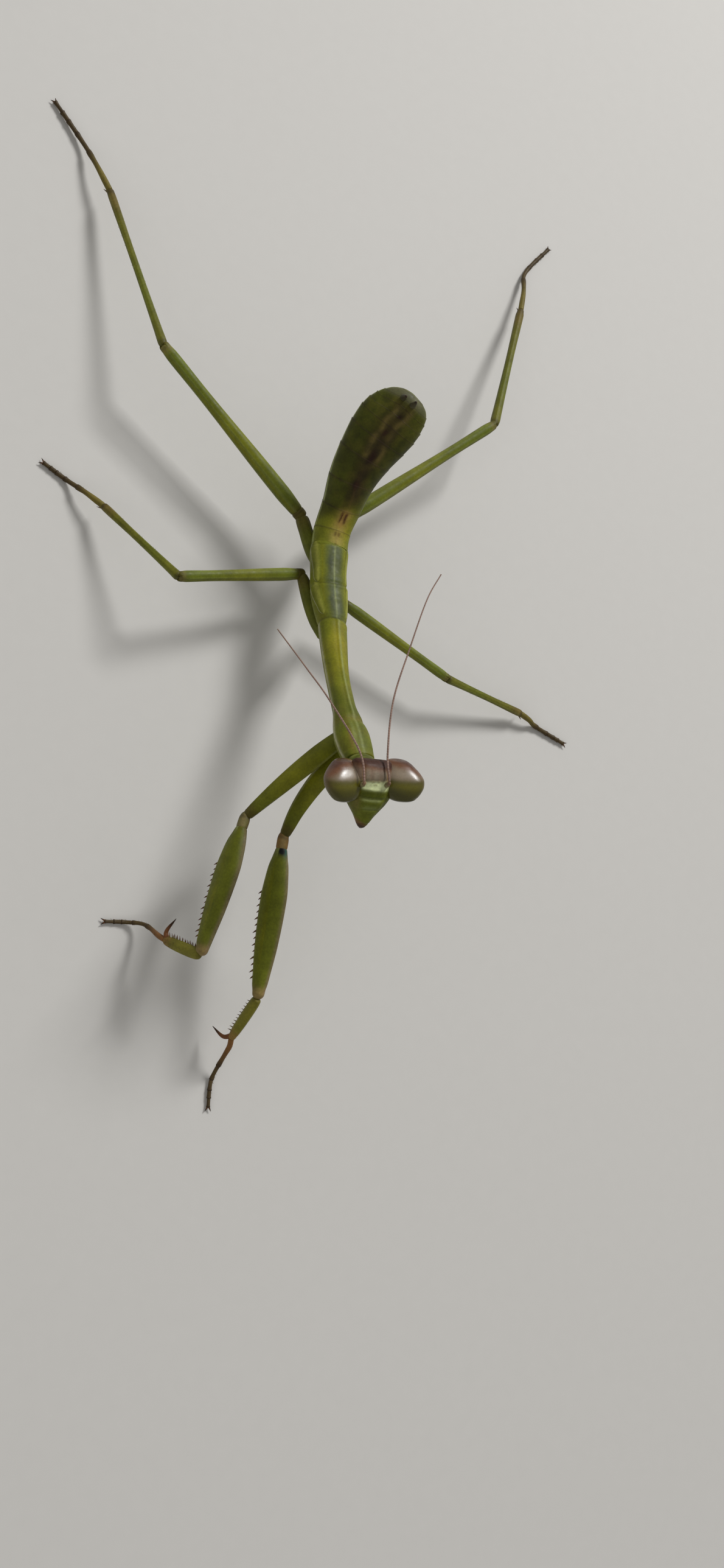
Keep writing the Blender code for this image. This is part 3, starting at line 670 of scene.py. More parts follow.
HEAD_SIZES = [  # down, half width, front, back
    (-1.36, 0.90, 0.34, 0.20),
    (-1.32, 1.15, 0.56, 0.06),
    (-1.20, 1.32, 0.82, -0.20),
    (-0.85, 1.45, 1.12, -0.62),
    (-0.2, 1.60, 1.38, -1.18),
    (0.4, 1.74, 1.38, -1.10),
    (0.8, 1.74, 1.32, -1.02),
    (1.5, 1.45, 1.26, -0.80),
    (2.0, 1.08, 1.15, -0.58),
    (2.5, 0.70, 1.02, -0.30),
    (2.85, 0.49, 0.92, -0.10),
    (3.10, 0.34, 0.80, 0.0),
    (3.28, 0.20, 0.66, 0.12),
    (3.38, 0.08, 0.46, 0.28),
]
HEAD_ROWS, HEAD_POINTS, HEAD_CORNER = 190, 150, 0.86
LEFT_SOCKET, RIGHT_SOCKET = (0.66, 0.10), (-1.10, 0.06)  # across and down
SIMPLE_EYES = ((-0.22, -0.10), (0.22, -0.10), (0.0, 0.12))
SIMPLE_EYE_RADIUS, SIMPLE_EYE_SPOT = 0.09, 0.08
CROWN_GROOVES = (-0.86, -0.36, 0.36, 0.86)
CROWN_SWELLS = ((0.0, 0.02), (-0.62, 0.03), (0.62, 0.03), (1.3, 0.02), (-1.3, 0.02))
MAUVE = (0.185, 0.130, 0.088)
MAROON = (0.045, 0.016, 0.010)
EYE_RIM = (0.140, 0.054, 0.022)
CROWN_TAN = (0.25, 0.215, 0.150)
BROW_PALE_AND_PAINTED_SHEEN = (0.70, 0.77, 0.42)
FACE_GREEN = (0.110, 0.125, 0.007)
PLATE_GREEN = (0.066, 0.078, 0.003)
PAINTED_HIGHLIGHT_GREEN = (0.30, 0.34, 0.13)
LIP_GREEN = (0.20, 0.24, 0.07)
SOCKET_TAN = (0.20, 0.19, 0.08)
SIMPLE_EYE_TAN = (0.30, 0.27, 0.13)
MOUTH_BROWN = (0.13, 0.055, 0.024)
PALP_BROWN = (0.20, 0.12, 0.05)
JAW_BROWN = (0.14, 0.105, 0.035)

head_top, head_length = HEAD_SIZES[0][0], HEAD_SIZES[-1][0] - HEAD_SIZES[0][0]
row_angles = np.pi * np.linspace(0.0, 1.0, HEAD_ROWS)
row_down = head_top + head_length * (0.5 - 0.5 * np.cos(row_angles))
head_sizes = eased(HEAD_SIZES, row_down)
half, front, rear = head_sizes[:, :1], head_sizes[:, 1:2], head_sizes[:, 2:]
head_turn = turns(HEAD_POINTS)
down = row_down[:, None]
# the face's middle line leans towards the right, and the mouth more than the crown
lean = -0.14 * step(down, -1.0, 0.8) - 0.098 * np.clip(down, 0, None)
head_axis = head_point(0, 0, 0) + head_down * down + head_side * lean
offsets = oval(head_turn, half, (front - rear) / 2, HEAD_CORNER)
offsets[..., 1] += (front + rear) / 2
from_middle = offsets[..., 0]
across = from_middle + lean
facing = np.clip(np.sin(head_turn) * 1.6, 0, 1)

frontal = boxed(down, 0.42, 1.08, 0.12) * boxed(from_middle, -0.88, 0.88, 0.12)
clypeus = 1 - step(np.abs(from_middle), 0.98 - 0.28 * (down - 1.1), 0.12)
clypeus = clypeus * boxed(down, 1.18, 1.84, 0.12)
lip = 1 - step(np.abs(from_middle), 0.64 - 0.30 * (down - 1.9), 0.10)
lip = lip * boxed(down, 1.93, 2.90, 0.10)
relief = 0.07 * frontal + 0.055 * clypeus + 0.045 * lip
relief = relief - 0.018 * hump(down, 1.12, 0.11) * boxed(from_middle, -1.1, 1.1, 0.15)
relief = relief - 0.018 * hump(down, 1.88, 0.10) * boxed(from_middle, -0.7, 0.7, 0.12)
relief = relief - 0.03 * hump(down, 2.93, 0.04)
relief = relief + 0.05 * hump(from_middle, 0, 0.10) * boxed(down, 0.5, 1.05, 0.08)
relief = relief - 0.014 * humps(from_middle, CROWN_GROOVES, 0.07) * (1 - step(down, -0.15, 0.15))
for swell_middle, swell in CROWN_SWELLS:
    crown_swell = hump(from_middle, swell_middle, 0.28) * boxed(down, -1.2, -0.2, 0.2)
    relief = relief + swell * crown_swell
sockets, simple_eyes = 0 * across, 0 * across
for socket_across, socket_down in (LEFT_SOCKET, RIGHT_SOCKET):
    away = np.hypot(across - socket_across, down - socket_down)
    relief = relief + 0.03 * hump(away, 0.19, 0.07) - 0.03 * hump(away, 0, 0.12)
    sockets = sockets + hump(away, 0.0, 0.22)
for eye_across, eye_down in SIMPLE_EYES:
    away = np.hypot(from_middle - eye_across, down - eye_down)
    relief = relief + 0.035 * np.sqrt(np.clip(1 - (away / SIMPLE_EYE_RADIUS) ** 2, 0, 1))
    simple_eyes = simple_eyes + (away < SIMPLE_EYE_SPOT)
offsets[..., 1] += relief * facing

crown_streaks = hump(from_middle, 0, 0.22) + humps(from_middle, (-0.62, 0.62), 0.17)
outer_face = step(np.abs(from_middle) / half, 0.75, 0.15) * boxed(down, 0.6, 2.6, 0.3)
# two dark bands painted across the face as the shade of its grooves
painted_groove_shade = hump(down, 0.98, 0.08) + hump(down, 1.52, 0.13)
face_marks = [
    (MAUVE, 1 - step(down, 0.02, 0.45)),
    (CROWN_TAN, 0.55 * boxed(down, -1.0, -0.15, 0.25) * crown_streaks),
    # the pale brow between the feelers: partly its own colour, partly a painted sheen of reflected
    # light
    (BROW_PALE_AND_PAINTED_SHEEN, 0.95 * boxed(down, -0.05, 0.48, 0.20) * boxed(from_middle, -0.95, 1.0, 0.35)),
    (ORANGE_BROWN, 0.60 * humps(from_middle, (-0.86, 0.86), 0.10) * (1 - step(down, 0.0, 0.2))),
    (EYE_RIM, 0.8 * (1 - step(down, -0.80, 0.24))),
    (MAROON, 0.95 * (1 - step(down, -0.98, 0.20))),
    (PLATE_GREEN, 0.75 * frontal * step(down, 0.66, 0.24)),
    (DEEP_GREEN, 0.38 * painted_groove_shade * boxed(from_middle, -1.0, 1.0, 0.2)),
    # a pale band painted as a highlight across the top of the clypeus
    (PAINTED_HIGHLIGHT_GREEN, 0.62 * hump(down, 1.21, 0.11) * boxed(from_middle, -0.70, 0.70, 0.25)),
    (LIP_GREEN, 0.55 * hump(down, 1.80, 0.17) * boxed(from_middle, -0.48, 0.48, 0.25)),
    (TAN, 0.30 * hump(across, -1.35, 0.30) * boxed(down, 1.0, 2.3, 0.4)),
    (DEEP_GREEN, 0.5 * outer_face),
    (MOUTH_BROWN, 0.85 * step(down - 0.5 * from_middle, 2.95, 0.22)),
    (DARK_BROWN, 0.85 * step(down - 0.3 * from_middle, 3.12, 0.12)),
    (SOCKET_TAN, 0.4 * sockets),
    (SIMPLE_EYE_TAN, 0.5 * simple_eyes),
    (DEEP_GREEN, 0.5 * (np.sin(head_turn) < -0.2)),
]
head_coat = painted(FACE_GREEN, across.shape, face_marks)
head_shell = shell_of(ring_grid(head_axis, head_front, offsets), head_coat)


def limb(points, sizes, upward, colour, marks=(), steps=12, count=28, corner=1.0, blunt=0.5,
         shape=None):
    """A closed limb along a smooth path. sizes are rows (share, half width, half height), and
    blunt is the length, in end half widths, over which each end rounds off. marks is a function
    or rows (colour, step or hump, share, width, strength before or beside it, and past or at it).
    """
    path = smooth_path(points, steps)
    share = np.linspace(0, 1, len(path))
    share = share - 0.13 * np.sin(2 * np.pi * share)  # closer rows near both ends
    path = resampled(path, share)
    run = travelled(path)
    radii = eased(sizes, share)
    near = np.clip(run / (blunt * radii[0].max()), 0, 1)
    far = np.clip((run[-1] - run) / (blunt * radii[-1].max()), 0, 1)
    near, far = np.clip(1 - (1 - near) ** 2, 0.01, 1), np.clip(1 - (1 - far) ** 2, 0.01, 1)
    radii = radii * np.sqrt(near * far)[:, None]
    turn = turns(count)
    share = share[:, None]
    offsets = oval(turn, radii[:, :1], radii[:, 1:], corner)
    if shape is not None:
        offsets = shape(offsets, share, turn)
    if callable(marks):
        marks = marks(share, turn)
    else:
        marks = [
            (mark_colour, off + (full - off) * kind(share, place, width))
            for mark_colour, kind, place, width, off, full in marks
        ]
    coat = painted(colour, offsets.shape[:2], marks)
    return shell_of(ring_grid(path, upward, offsets), coat)


def rounded(radii):
    """The rows (share, radius) of a round limb, as rows of its sizes."""
    return [(share, radius, radius) for share, radius in radii]


PALP_RADII = ((0, 0.09), (0.3, 0.12), (0.36, 0.08), (0.62, 0.11), (0.68, 0.075), (1, 0.07))
JAW_SIZES = ((0, 0.32, 0.30), (0.5, 0.24, 0.24), (1, 0.10, 0.10))


def palp(way):
    """A mouth feeler of three short joints, beside the jaws."""
    joints = [
        head_point(way * 0.32 - 0.2, 2.35, 0.10),
        head_point(way * 0.40 - 0.26, 2.65, 0.22),
        head_point(way * 0.33 - 0.30, 2.92, 0.16),
        head_point(way * 0.13 - 0.34, 3.15, 0.10),
    ]
    return limb(joints, rounded(PALP_RADII), head_front, PALP_BROWN, steps=10, count=16)


def jaw(way):
    joints = [
        head_point(way * 0.66 - 0.2, 1.85, 0.30),
        head_point(way * 0.44 - 0.25, 2.35, 0.42),
        head_point(way * 0.16 - 0.3, 2.95, 0.48),
    ]
    return limb(joints, JAW_SIZES, head_front, JAW_BROWN, count=24)


head_shells = [head_shell, jaw(-1), jaw(1), palp(-1), palp(1)]
piece_of("head_skin", head_shells, green_cuticle, ["head", "mouthparts"])

# ---------------------------------------------------------------- eyes
# Each big eye is a smooth dome of thousands of tiny facets under clear cuticle, at an upper
# corner of the head. Pigment behind it makes it brown above and olive below.

EYE_MIDDLE, EYE_DOWN, EYE_OUT = 2.02, 0.05, 0.30  # across, down and out of the head's middle
EYE_HALF_DOWN, EYE_REACH, EYE_SHIFT = 1.30, 1.535, 0.06
EYE_LEAN, EYE_SPREAD, EYE_BLEND = 0.42, 0.40, 0.4  # how far it comes forward, down and outwards
EYE_ROWS, EYE_CORNER = 110, 0.96
EYE_SIZES = [  # level from top to bottom, reach outwards, reach inwards, half depth
    (-1.0, 0.10, 0.10, 0.10),
    (-0.97, 0.42, 0.50, 0.40),
    (-0.88, 0.70, 0.80, 0.62),
    (-0.70, 0.98, 1.10, 0.84),
    (-0.40, 1.34, 1.32, 1.04),
    (-0.08, EYE_REACH, 1.40, 1.12),
    (0.20, 1.49, 1.36, 1.11),
    (0.50, 1.28, 1.22, 1.00),
    (0.75, 1.02, 1.02, 0.80),
    (0.90, 0.76, 0.75, 0.62),
    (0.97, 0.46, 0.48, 0.38),
    (1.0, 0.12, 0.12, 0.12),
]
EYE_TOP = (0.175, 0.122, 0.075)
EYE_LOW = (0.056, 0.051, 0.002)
EYE_PALE_AND_PAINTED_SHEEN = (0.30, 0.25, 0.18)
EYE_OLIVE = (0.115, 0.102, 0.006)
EYE_SIDE = (0.10, 0.055, 0.012)
EYE_COAT, EYE_COAT_ROUGHNESS = 0.22, 0.22

eye_shell = cuticle("faceted eye", 0.30, 30000, 0.2e-5, blotch=0.08, gloss=0.38, through=0.04)
eye_coat = {"Coat Weight": EYE_COAT, "Coat Roughness": EYE_COAT_ROUGHNESS}
fill_in(eye_shell.node_tree, eye_shell.node_tree.nodes["Principled BSDF"], eye_coat)


def eye_dome(way):
    level = -np.cos(np.pi * np.linspace(0.0, 1.0, EYE_ROWS))
    eye_turn = turns(EYE_ROWS)
    sizes = eased(EYE_SIZES, level)
    half_across = np.where(np.cos(eye_turn) * way > 0, sizes[:, :1], sizes[:, 1:2])
    offsets = oval(eye_turn, half_across, sizes[:, 2:3], EYE_CORNER)
    centre = head_point(way * EYE_MIDDLE - EYE_SHIFT, EYE_DOWN, EYE_OUT)
    axis = centre + head_down * (EYE_HALF_DOWN * level)[:, None]
    level = level[:, None]
    reach = offsets[..., 0] * way
    forward = EYE_SPREAD * (reach + np.sqrt(reach**2 + EYE_BLEND)) / 2
    offsets[..., 1] += EYE_LEAN * EYE_HALF_DOWN * level + forward
    reach = reach / EYE_REACH
    outer, inner = np.clip(reach, 0, 1), np.clip(-reach, 0, 1)
    band_edge = -0.70 + 0.50 * outer**1.3 - 0.25 * inner
    marks = [
        (EYE_TOP, 1 - step(level, -0.20, 0.20)),
        # a paler patch high on the eye: partly its own pigment, partly a painted sheen round the
        # highlight
        (EYE_PALE_AND_PAINTED_SHEEN, 0.5 * hump(level, -0.42, 0.25) * hump(reach, -0.2, 0.7)),
        (EYE_RIM, 0.95 * (1 - step(level, band_edge, 0.16))),
        (MAROON, 0.85 * (1 - step(level, band_edge - 0.22, 0.16))),
        (EYE_OLIVE, 0.6 * hump(level, 0.10, 0.20) * (1 - 0.6 * outer**3)),
        (EYE_SIDE, 0.7 * outer**6 * hump(level, 0.05, 0.5)),
        (DARK_OLIVE, 0.6 * step(level, 0.80, 0.15)),
    ]
    coat = painted(EYE_LOW, reach.shape, marks)
    return shell_of(ring_grid(axis, head_front, offsets), coat)


for way, name in ((-1, "eye_right"), (1, "eye_left")):
    piece_of(f"{name}_dome", [eye_dome(way)], eye_shell, [name])

# ---------------------------------------------------------------- walking legs
# Four slender legs, each a thigh with raised edges, a shin with two spurs, and a foot of five
# joints with a pair of claws. The joints are hinges of the same cuticle, darker at the knee.

WALKING_LEGS = {  # root, hip, knee, ankle, heel, toe, thick and thin half width of the thigh
    "hind_leg_right": (
        (-1.0, 1.6, 4.3), (-1.85, 5.4, 3.8), (-13.3, 16.35, 4.7), (-16.8, 29.5, 1.6),
        (-18.7, 33.6, 0.5), (-21.0, 36.7, 0.24), 0.60, 0.44,
    ),
    "hind_leg_left": (
        (0.75, 1.6, 4.4), (1.85, 5.8, 3.8), (14.7, 15.5, 4.85), (19.5, 28.1, 1.6),
        (20.9, 32.6, 0.3), (23.5, 35.6, 0.24), 0.60, 0.44,
    ),
    "middle_leg_right": (
        (-0.95, -4.0, 4.9), (-1.8, 0.8, 3.85), (-11.85, -1.2, 5.05), (-16.5, 4.55, 1.5),
        (-19.0, 6.55, 0.3), (-20.8, 7.65, 0.24), 0.50, 0.42,
    ),
    "middle_leg_left": (
        (0.35, -4.0, 4.9), (1.65, -0.8, 3.6), (11.1, -5.7, 3.15), (19.1, -7.2, 0.95),
        (21.0, -8.0, 0.3), (23.8, -9.2, 0.24), 0.44, 0.36,
    ),
}
LEG_PARTS = ("coxa", "trochanter", "femur", "tibia", "tarsus")
COXA_SIZES = ((0, 0.40, 0.5), (0.3, 0.56, 0.60), (0.7, 0.50, 0.54))
COXA_INWARDS, COXA_RISE, COXA_SAG = 0.45, 0.1, 0.1
LOBE_SIZES = ((0, 0.07, 0.14), (0.5, 0.13, 0.27), (1, 0.12, 0.20))
SHIN_SIZES = (
    (0, 0.27, 0.30), (0.03, 0.33, 0.36), (0.10, 0.30, 0.34),
    (0.6, 0.25, 0.27), (0.95, 0.29, 0.31), (1, 0.26, 0.27),
)
# shares of the half width where the coxa ends, and along the hinge and the thigh
COXA_END = ((0.93, 0.97, 1.0), (1, 0.85, 0.88))
HINGE_SHARES = ((0, 0.8, 0.82), (0.3, 0.98, 1.0), (0.7, 1.02, 1.04), (1, 0.95, 0.95))
THIGH_START = ((0, 0.88, 0.9), (0.02, 1.0, 1.03))
THIGH_THICK = ((0.05, 0.88, 0.92), (0.12, 0.96, 1.0), (0.2, 0.95, 1.0))
THIGH_THIN = ((0.75, 0.93, 1.0), (0.93, 0.98, 1.03), (1, 0.8, 0.85))
COXA_EDGES, THIGH_EDGES = (0.6, 2.5), (0.785, 2.356, 3.927, 5.498)  # turns round the limb
SHIN_EDGES = (0.5 * np.pi, 1.5 * np.pi, 0.0, np.pi)
FOOT_JOINTS = (  # first and last share of the foot, thickness, share of it at the start
    (0.0, 0.46, 1.06, 1.12),
    (0.46, 0.66, 1.0, 0.86),
    (0.66, 0.79, 1.0, 0.86),
    (0.79, 0.88, 1.0, 0.86),
    (0.88, 0.985, 0.84, 0.86),
)
FOOT_RADIUS, FOOT_SUNK, FOOT_ARCH, JOINT_OVERLAP = 0.20, 0.05, 0.12, 0.012
CLAW_SHARE = 0.975
LEG_GREEN = (0.112, 0.136, 0.009)
SHIN_OLIVE = (0.125, 0.118, 0.012)
FOOT_TAN = (0.150, 0.095, 0.030)
FOOT_BROWN = (0.080, 0.054, 0.020)
FOOT_OLIVE = (0.150, 0.118, 0.022)
HINGE_GREEN = (0.095, 0.076, 0.012)
COXA_MARKS = ((HINGE_GREEN, step, 0.75, 0.2, 0.30, 0.90),)
HINGE_MARKS = ((DARK_BROWN, hump, 0.62, 0.08, 0, 0.25),)
LOBE_MARKS = ((HINGE_GREEN, step, 0.6, 0.3, 0, 0.9),)

tarsus_cuticle = cuticle("foot cuticle", 0.48, 24000, 0.5e-5)
leg_axes, claw_roots = {}, []


def between(start, end, share):
    return np.asarray(start, float) * (1 - share) + np.asarray(end, float) * share


def scaled(rows, half_width, half_height):
    return [(share, wide * half_width, high * half_height) for share, wide, high in rows]


def ridges(places, height, width, fade=0.06):
    """Raised edges that run along a limb at these turns round it."""
    def shape(offsets, share, turn):
        gaps = [np.abs((turn - place + np.pi) % (2 * np.pi) - np.pi) for place in places]
        lift = height * sum(hump(gap, 0, width) for gap in gaps)
        return lifted(offsets, lift * step(share, fade, fade) * (1 - step(share, 1 - fade, fade)))
    return shape


def thigh_marks(share, turn):
    return [
        (YELLOW, 0.35 * hump(share, 0.45, 0.25)),
        (HINGE_GREEN, 0.8 * (1 - step(share, 0.04, 0.05))),
        (PALE_GREEN, 0.22 * hump(np.abs(np.sin(2 * turn)), 1, 0.10)),
        (DEEP_GREEN, 0.35 * hump(np.sin(2 * turn), 0, 0.5)),
        (YELLOW, 0.25 * hump(np.sin(turn), 0.35, 0.25)),
        (TAN, 0.35 * step(share, 0.96, 0.03)),
        (DARK_BROWN, 0.3 * hump(share, 0.985, 0.012)),
    ]


def shin_marks(share, turn):
    return [
        (LEG_GREEN, 0.55 * hump(share, 0.35, 0.25)),
        (DARK_BROWN, 0.5 * (1 - step(share, 0.03, 0.02))),
        (FOOT_TAN, 0.6 * step(share, 0.85, 0.08)),
        (PALE_GREEN, 0.15 * hump(np.abs(np.sin(turn)), 1, 0.08)),
        (DARK_BROWN, 0.5 * hump(share, 0.98, 0.02)),
    ]


def foot_marks(first, last):
    """The marks of a foot joint that fills these shares of the foot."""
    def marks(share, turn):
        whole = first + (last - first) * share
        return [
            (FOOT_BROWN, step(whole, 0.30, 0.22)),
            (DARK_BROWN, 0.5 * hump(share, 0.93, 0.12) + 0.25 * step(whole, 0.6, 0.3)),
        ]
    return marks


def leg_foot(points, radius, colour):
    """Five joints along the floor. Each widens to its end and holds the next one."""
    path = smooth_path(points, 14)
    path[:, 2] -= np.linspace(0, FOOT_SUNK, len(path))
    claw_roots.append((resampled(path, np.array([CLAW_SHARE]))[0], unit(path[-1] - path[-6])))
    shells = []
    for first, last, thickness, start in FOOT_JOINTS:
        line = resampled(path, np.linspace(max(first - JOINT_OVERLAP, 0), last, 5))
        shares = ((0, start, start), (0.2, start, 0.98 * start), (0.7, 0.88, 0.90),
                  (0.9, 1.05, 1.0), (1, 0.98, 0.9))
        sizes = scaled(shares, radius * thickness, radius * thickness)
        joint = limb(line, sizes, UP, colour, foot_marks(first, last), steps=5, count=20)
        joint[0][:, 2] = np.maximum(joint[0][:, 2], 0.0)
        shells.append(joint)
    return shells, path


def leg_piece(name, shells, knee, ankle, foot_points, radius, colour):
    """Adds its foot to a leg, and makes the whole leg one piece."""
    foot, foot_path = leg_foot(foot_points, radius, colour)
    leg_axes[name] = (knee, ankle, foot_path)
    nodes = [f"{name}_{part}" for part in LEG_PARTS]
    piece_of(f"{name}_skin", [*shells, *foot], green_cuticle, nodes)


def walking_leg(name, root, hip, knee, ankle, heel, toe, thick, thin):
    root, hip, knee, ankle = (np.array(point) for point in (root, hip, knee, ankle))
    to_hip, out, shin = unit(hip - root), unit(knee - hip), unit(ankle - knee)
    bend = unit(shin - out * (shin @ out))
    aside = np.cross(out, bend) * thin
    neck_half = 0.03 + 0.78 * thick
    inwards = np.array((-COXA_INWARDS * np.sign(hip[0] - root[0]), 0, COXA_RISE))
    coxa_middle = between(root, hip, 0.4) + 0.4 * inwards - COXA_SAG * UP
    coxa_line = [root - 0.3 * to_hip + inwards, coxa_middle, hip - 0.05 * to_hip]
    coxa_sizes = [*COXA_SIZES, *scaled(COXA_END, neck_half, neck_half)]
    coxa = limb(coxa_line, coxa_sizes, UP, LEG_GREEN, COXA_MARKS, steps=20, count=36,
                corner=0.95, shape=ridges(COXA_EDGES, 0.05, 0.2))
    hinge_line = [hip + out * ahead for ahead in (-0.30, -0.02, 0.35, 0.62)]
    hinge_sizes = scaled(HINGE_SHARES, neck_half, neck_half)
    hinge = limb(hinge_line, hinge_sizes, UP, HINGE_GREEN, HINGE_MARKS, count=32, blunt=0.6)
    thigh_line = [hip + out * 0.30, between(hip, knee, 0.5), knee + out * 0.02]
    thigh_sizes = scaled(THIGH_START, neck_half, neck_half)
    thigh_sizes += scaled(THIGH_THICK, thick, thick) + scaled(THIGH_THIN, thin, thin)
    thigh = limb(thigh_line, thigh_sizes, UP, LEG_GREEN, thigh_marks, steps=60, count=48,
                 corner=0.96, shape=ridges(THIGH_EDGES, 0.03, 0.18))
    lobes = []
    for way in (-1, 1):
        lobe_line = [
            knee - out * 0.80 + aside * way * 0.52,
            knee - out * 0.15 + aside * way * 0.60,
            knee + out * 0.08 + bend * 0.08 + aside * way * 0.50,
        ]
        lobes.append(limb(lobe_line, LOBE_SIZES, bend, LEG_GREEN, LOBE_MARKS, 10, 20, blunt=1.0))
    shin_middle = between(knee, ankle, 0.5)
    shin_line = [knee - shin * 0.12, knee + shin * 0.9, shin_middle, ankle + shin * 0.02]
    lower = limb(shin_line, SHIN_SIZES, -out, SHIN_OLIVE, shin_marks, steps=40, count=40,
                 shape=ridges(SHIN_EDGES, 0.04, 0.16, 0.03))
    shells = [coxa, hinge, thigh, *lobes, lower]
    foot_points = [ankle - shin * 0.05, between(ankle, heel, 0.5) + FOOT_ARCH * UP, heel, toe]
    leg_piece(name, shells, knee, ankle, foot_points, FOOT_RADIUS, FOOT_OLIVE)


for leg_name, measures in WALKING_LEGS.items():
    walking_leg(leg_name, *measures)

# ---------------------------------------------------------------- forelegs
# The two catching legs rest on the ground. The deep flat thigh carries two rows of spines, the
# shin folds against it and ends in a long curved claw, and a thin foot starts beside the claw.

ARM_HALF_DEPTH, ARM_HALF_WIDTH = 0.95, 0.575
TRUNK_SHOULDER = (-1.5, -13.3, 11.7)
FORELEGS = {  # root, elbow, knee, ankle, claw tip, inner side, bow of the coxa, foot, hinge
    "foreleg_right": (
        (-2.0, -13.35, 10.7), (-7.0, -18.4, 6.3), (-10.15, -28.1, 6.4), (-11.75, -26.9, 3.5),
        (-11.2, -25.5, 4.3), (-0.45, 0.2, -0.87), (0, 0.15, 0.1),
        ((-12.0, -26.6, 3.0), (-12.4, -25.7, 1.1), (-13.5, -25.5, 0.3), (-15.2, -25.5, 0.24)),
        (0.150, 0.135, 0.040),
    ),
    "foreleg_left": (
        (-1.0, -13.8, 10.1), (-4.0, -19.6, 6.1), (-5.45, -30.9, 5.2), (-6.35, -33.6, 2.5),
        (-7.2, -32.7, 1.1), (-0.62, 0.2, -0.75), (-0.4, 0, -0.35),
        ((-6.3, -34.1, 2.2), (-6.8, -36.0, 0.5), (-7.0, -36.9, 0.27), (-7.1, -38.5, 0.24)),
        (0.210, 0.120, 0.030),
    ),
}
ARM_COXA_SIZES = (
    (0, 0.52, 0.60), (0.12, 0.55, 0.66), (0.3, 0.60, 0.74), (0.65, 0.52, 0.62),
    (0.85, 0.41, 0.49), (0.94, 0.355, 0.42), (1, 0.31, 0.36),
)
ARM_HINGE_SIZES = ((0, 0.26, 0.29), (0.25, 0.34, 0.40), (0.55, 0.37, 0.43), (1, 0.37, 0.42))
ARM_THIGH_ROOT = ((0, 0.33, 0.36), (0.035, 0.39, 0.45), (0.10, 0.49, 0.61))
ARM_THIGH_SHARES = (  # of half width and half depth
    (0.2, 1.0, 0.83), (0.35, 1.0, 1.0), (0.65, 0.9, 0.86),
    (0.85, 0.8, 0.60), (0.95, 0.74, 0.46), (1, 0.66, 0.42),
)
ARM_SHIN_SIZES = (
    (0, 0.26, 0.30), (0.08, 0.31, 0.36), (0.3, 0.33, 0.41), (0.8, 0.29, 0.35), (1, 0.23, 0.25),
)
HOOK_SIZES = ((0, 0.20, 0.21), (0.3, 0.16, 0.17), (0.7, 0.09, 0.10), (1, 0.02, 0.02))
INNER_TURN, OUTER_TURN, RIM_TURN = 0.5 * np.pi, 1.5 * np.pi, 0.62
RIM_TURNS = (INNER_TURN - RIM_TURN, INNER_TURN + RIM_TURN)
ARM_COXA_EDGES = (INNER_TURN, OUTER_TURN, 0.35)
ARM_SHIN_EDGES = (INNER_TURN - 0.6, INNER_TURN + 0.6, OUTER_TURN)
ARM_FOOT_RADIUS = 0.17
THIGH_SPINES = ((-1, 6, 0.34, 0.84), (1, 14, 0.30, 0.86))  # row, how many, first, last
SHIN_SPINES = ((-1, 9, 0.16, 0.84), (1, 11, 0.14, 0.86))
SPINE_DEPTHS = ((0, 0.46), (0.2, 0.86), (0.35, 1.0), (0.65, 0.82), (0.9, 0.52), (1, 0.38))
SPINE_HALF, LONG_SPINE, MIDDLE_SPINE, SHORT_SPINE = 0.095, 0.52, 0.44, 0.34
SHIN_SPINE_SIZE = (0.055, 0.055, 0.42)
ARM_GREEN = (0.108, 0.120, 0.007)
ARM_EDGE = (0.20, 0.15, 0.085)
ARM_HINGE = (0.070, 0.045, 0.010)
ARM_SHIN = (0.180, 0.165, 0.018)
ARM_FOOT = (0.200, 0.092, 0.026)
HINGE_PALE = (0.26, 0.20, 0.085)
HINGE_BROWN = (0.085, 0.034, 0.010)
SPOT_RIM = (0.03, 0.14, 0.12)
SPOT_BLACK = (0.004, 0.005, 0.005)
CLAW_BROWN = (0.17, 0.065, 0.022)
ARM_COXA_MARKS = ((YELLOW, hump, 0.5, 0.3, 0, 0.35), (ARM_HINGE, step, 0.90, 0.07, 0, 0.75))
ARM_SHIN_MARKS = ((ORANGE_BROWN, step, 0.8, 0.15, 0, 0.7), (HINGE_GREEN, step, 0.05, 0.04, 0.5, 0))
HOOK_MARKS = ((DARK_BROWN, step, 0.6, 0.3, 0, 1),)

spine_roots = []


def arm_thigh_shape(offsets, share, turn):
    """A sharp outer edge, and a groove between two rims on the inner side."""
    lift = 0.10 * hump(turn, OUTER_TURN, 0.16) + 0.07 * humps(turn, RIM_TURNS, 0.2)
    lift = lift - 0.16 * hump(turn, INNER_TURN, 0.30)
    return lifted(offsets, lift * step(share, 0.10, 0.06) * (1 - step(share, 0.93, 0.04)))


def arm_hinge_marks(share, turn):
    """Pale on top, with a brown outline."""
    return [
        (HINGE_PALE, 0.6 * humps(turn, (5.75, 5.75 - 2 * np.pi), 0.62)),
        (HINGE_BROWN, 0.65 * (hump(turn, 1.05, 0.35) + hump(turn, 4.35, 0.4))),
        (DARK_BROWN, 0.45 * hump(share, 0.30, 0.10)),
    ]


def arm_thigh_marks(share, turn):
    return [
        (YELLOW, 0.3 * hump(share, 0.5, 0.3) * hump(turn, 0.0, 0.8)),
        (ARM_EDGE, 0.75 * hump(turn, OUTER_TURN, 0.30)),
        (HINGE_GREEN, 0.5 * (1 - step(share, 0.05, 0.06))),
        (CREAM, 0.3 * humps(turn, RIM_TURNS, 0.14)),
        (PALE_GREEN, 0.5 * (1 - step(share, 0.06, 0.05)) * hump(turn, 0.1, 1.0)),
        (DEEP_GREEN, 0.35 * hump(share, 0.42, 0.12) * hump(turn, 0.0, 0.9)),
        (TAN, 0.6 * step(share, 0.93, 0.04)),
    ]


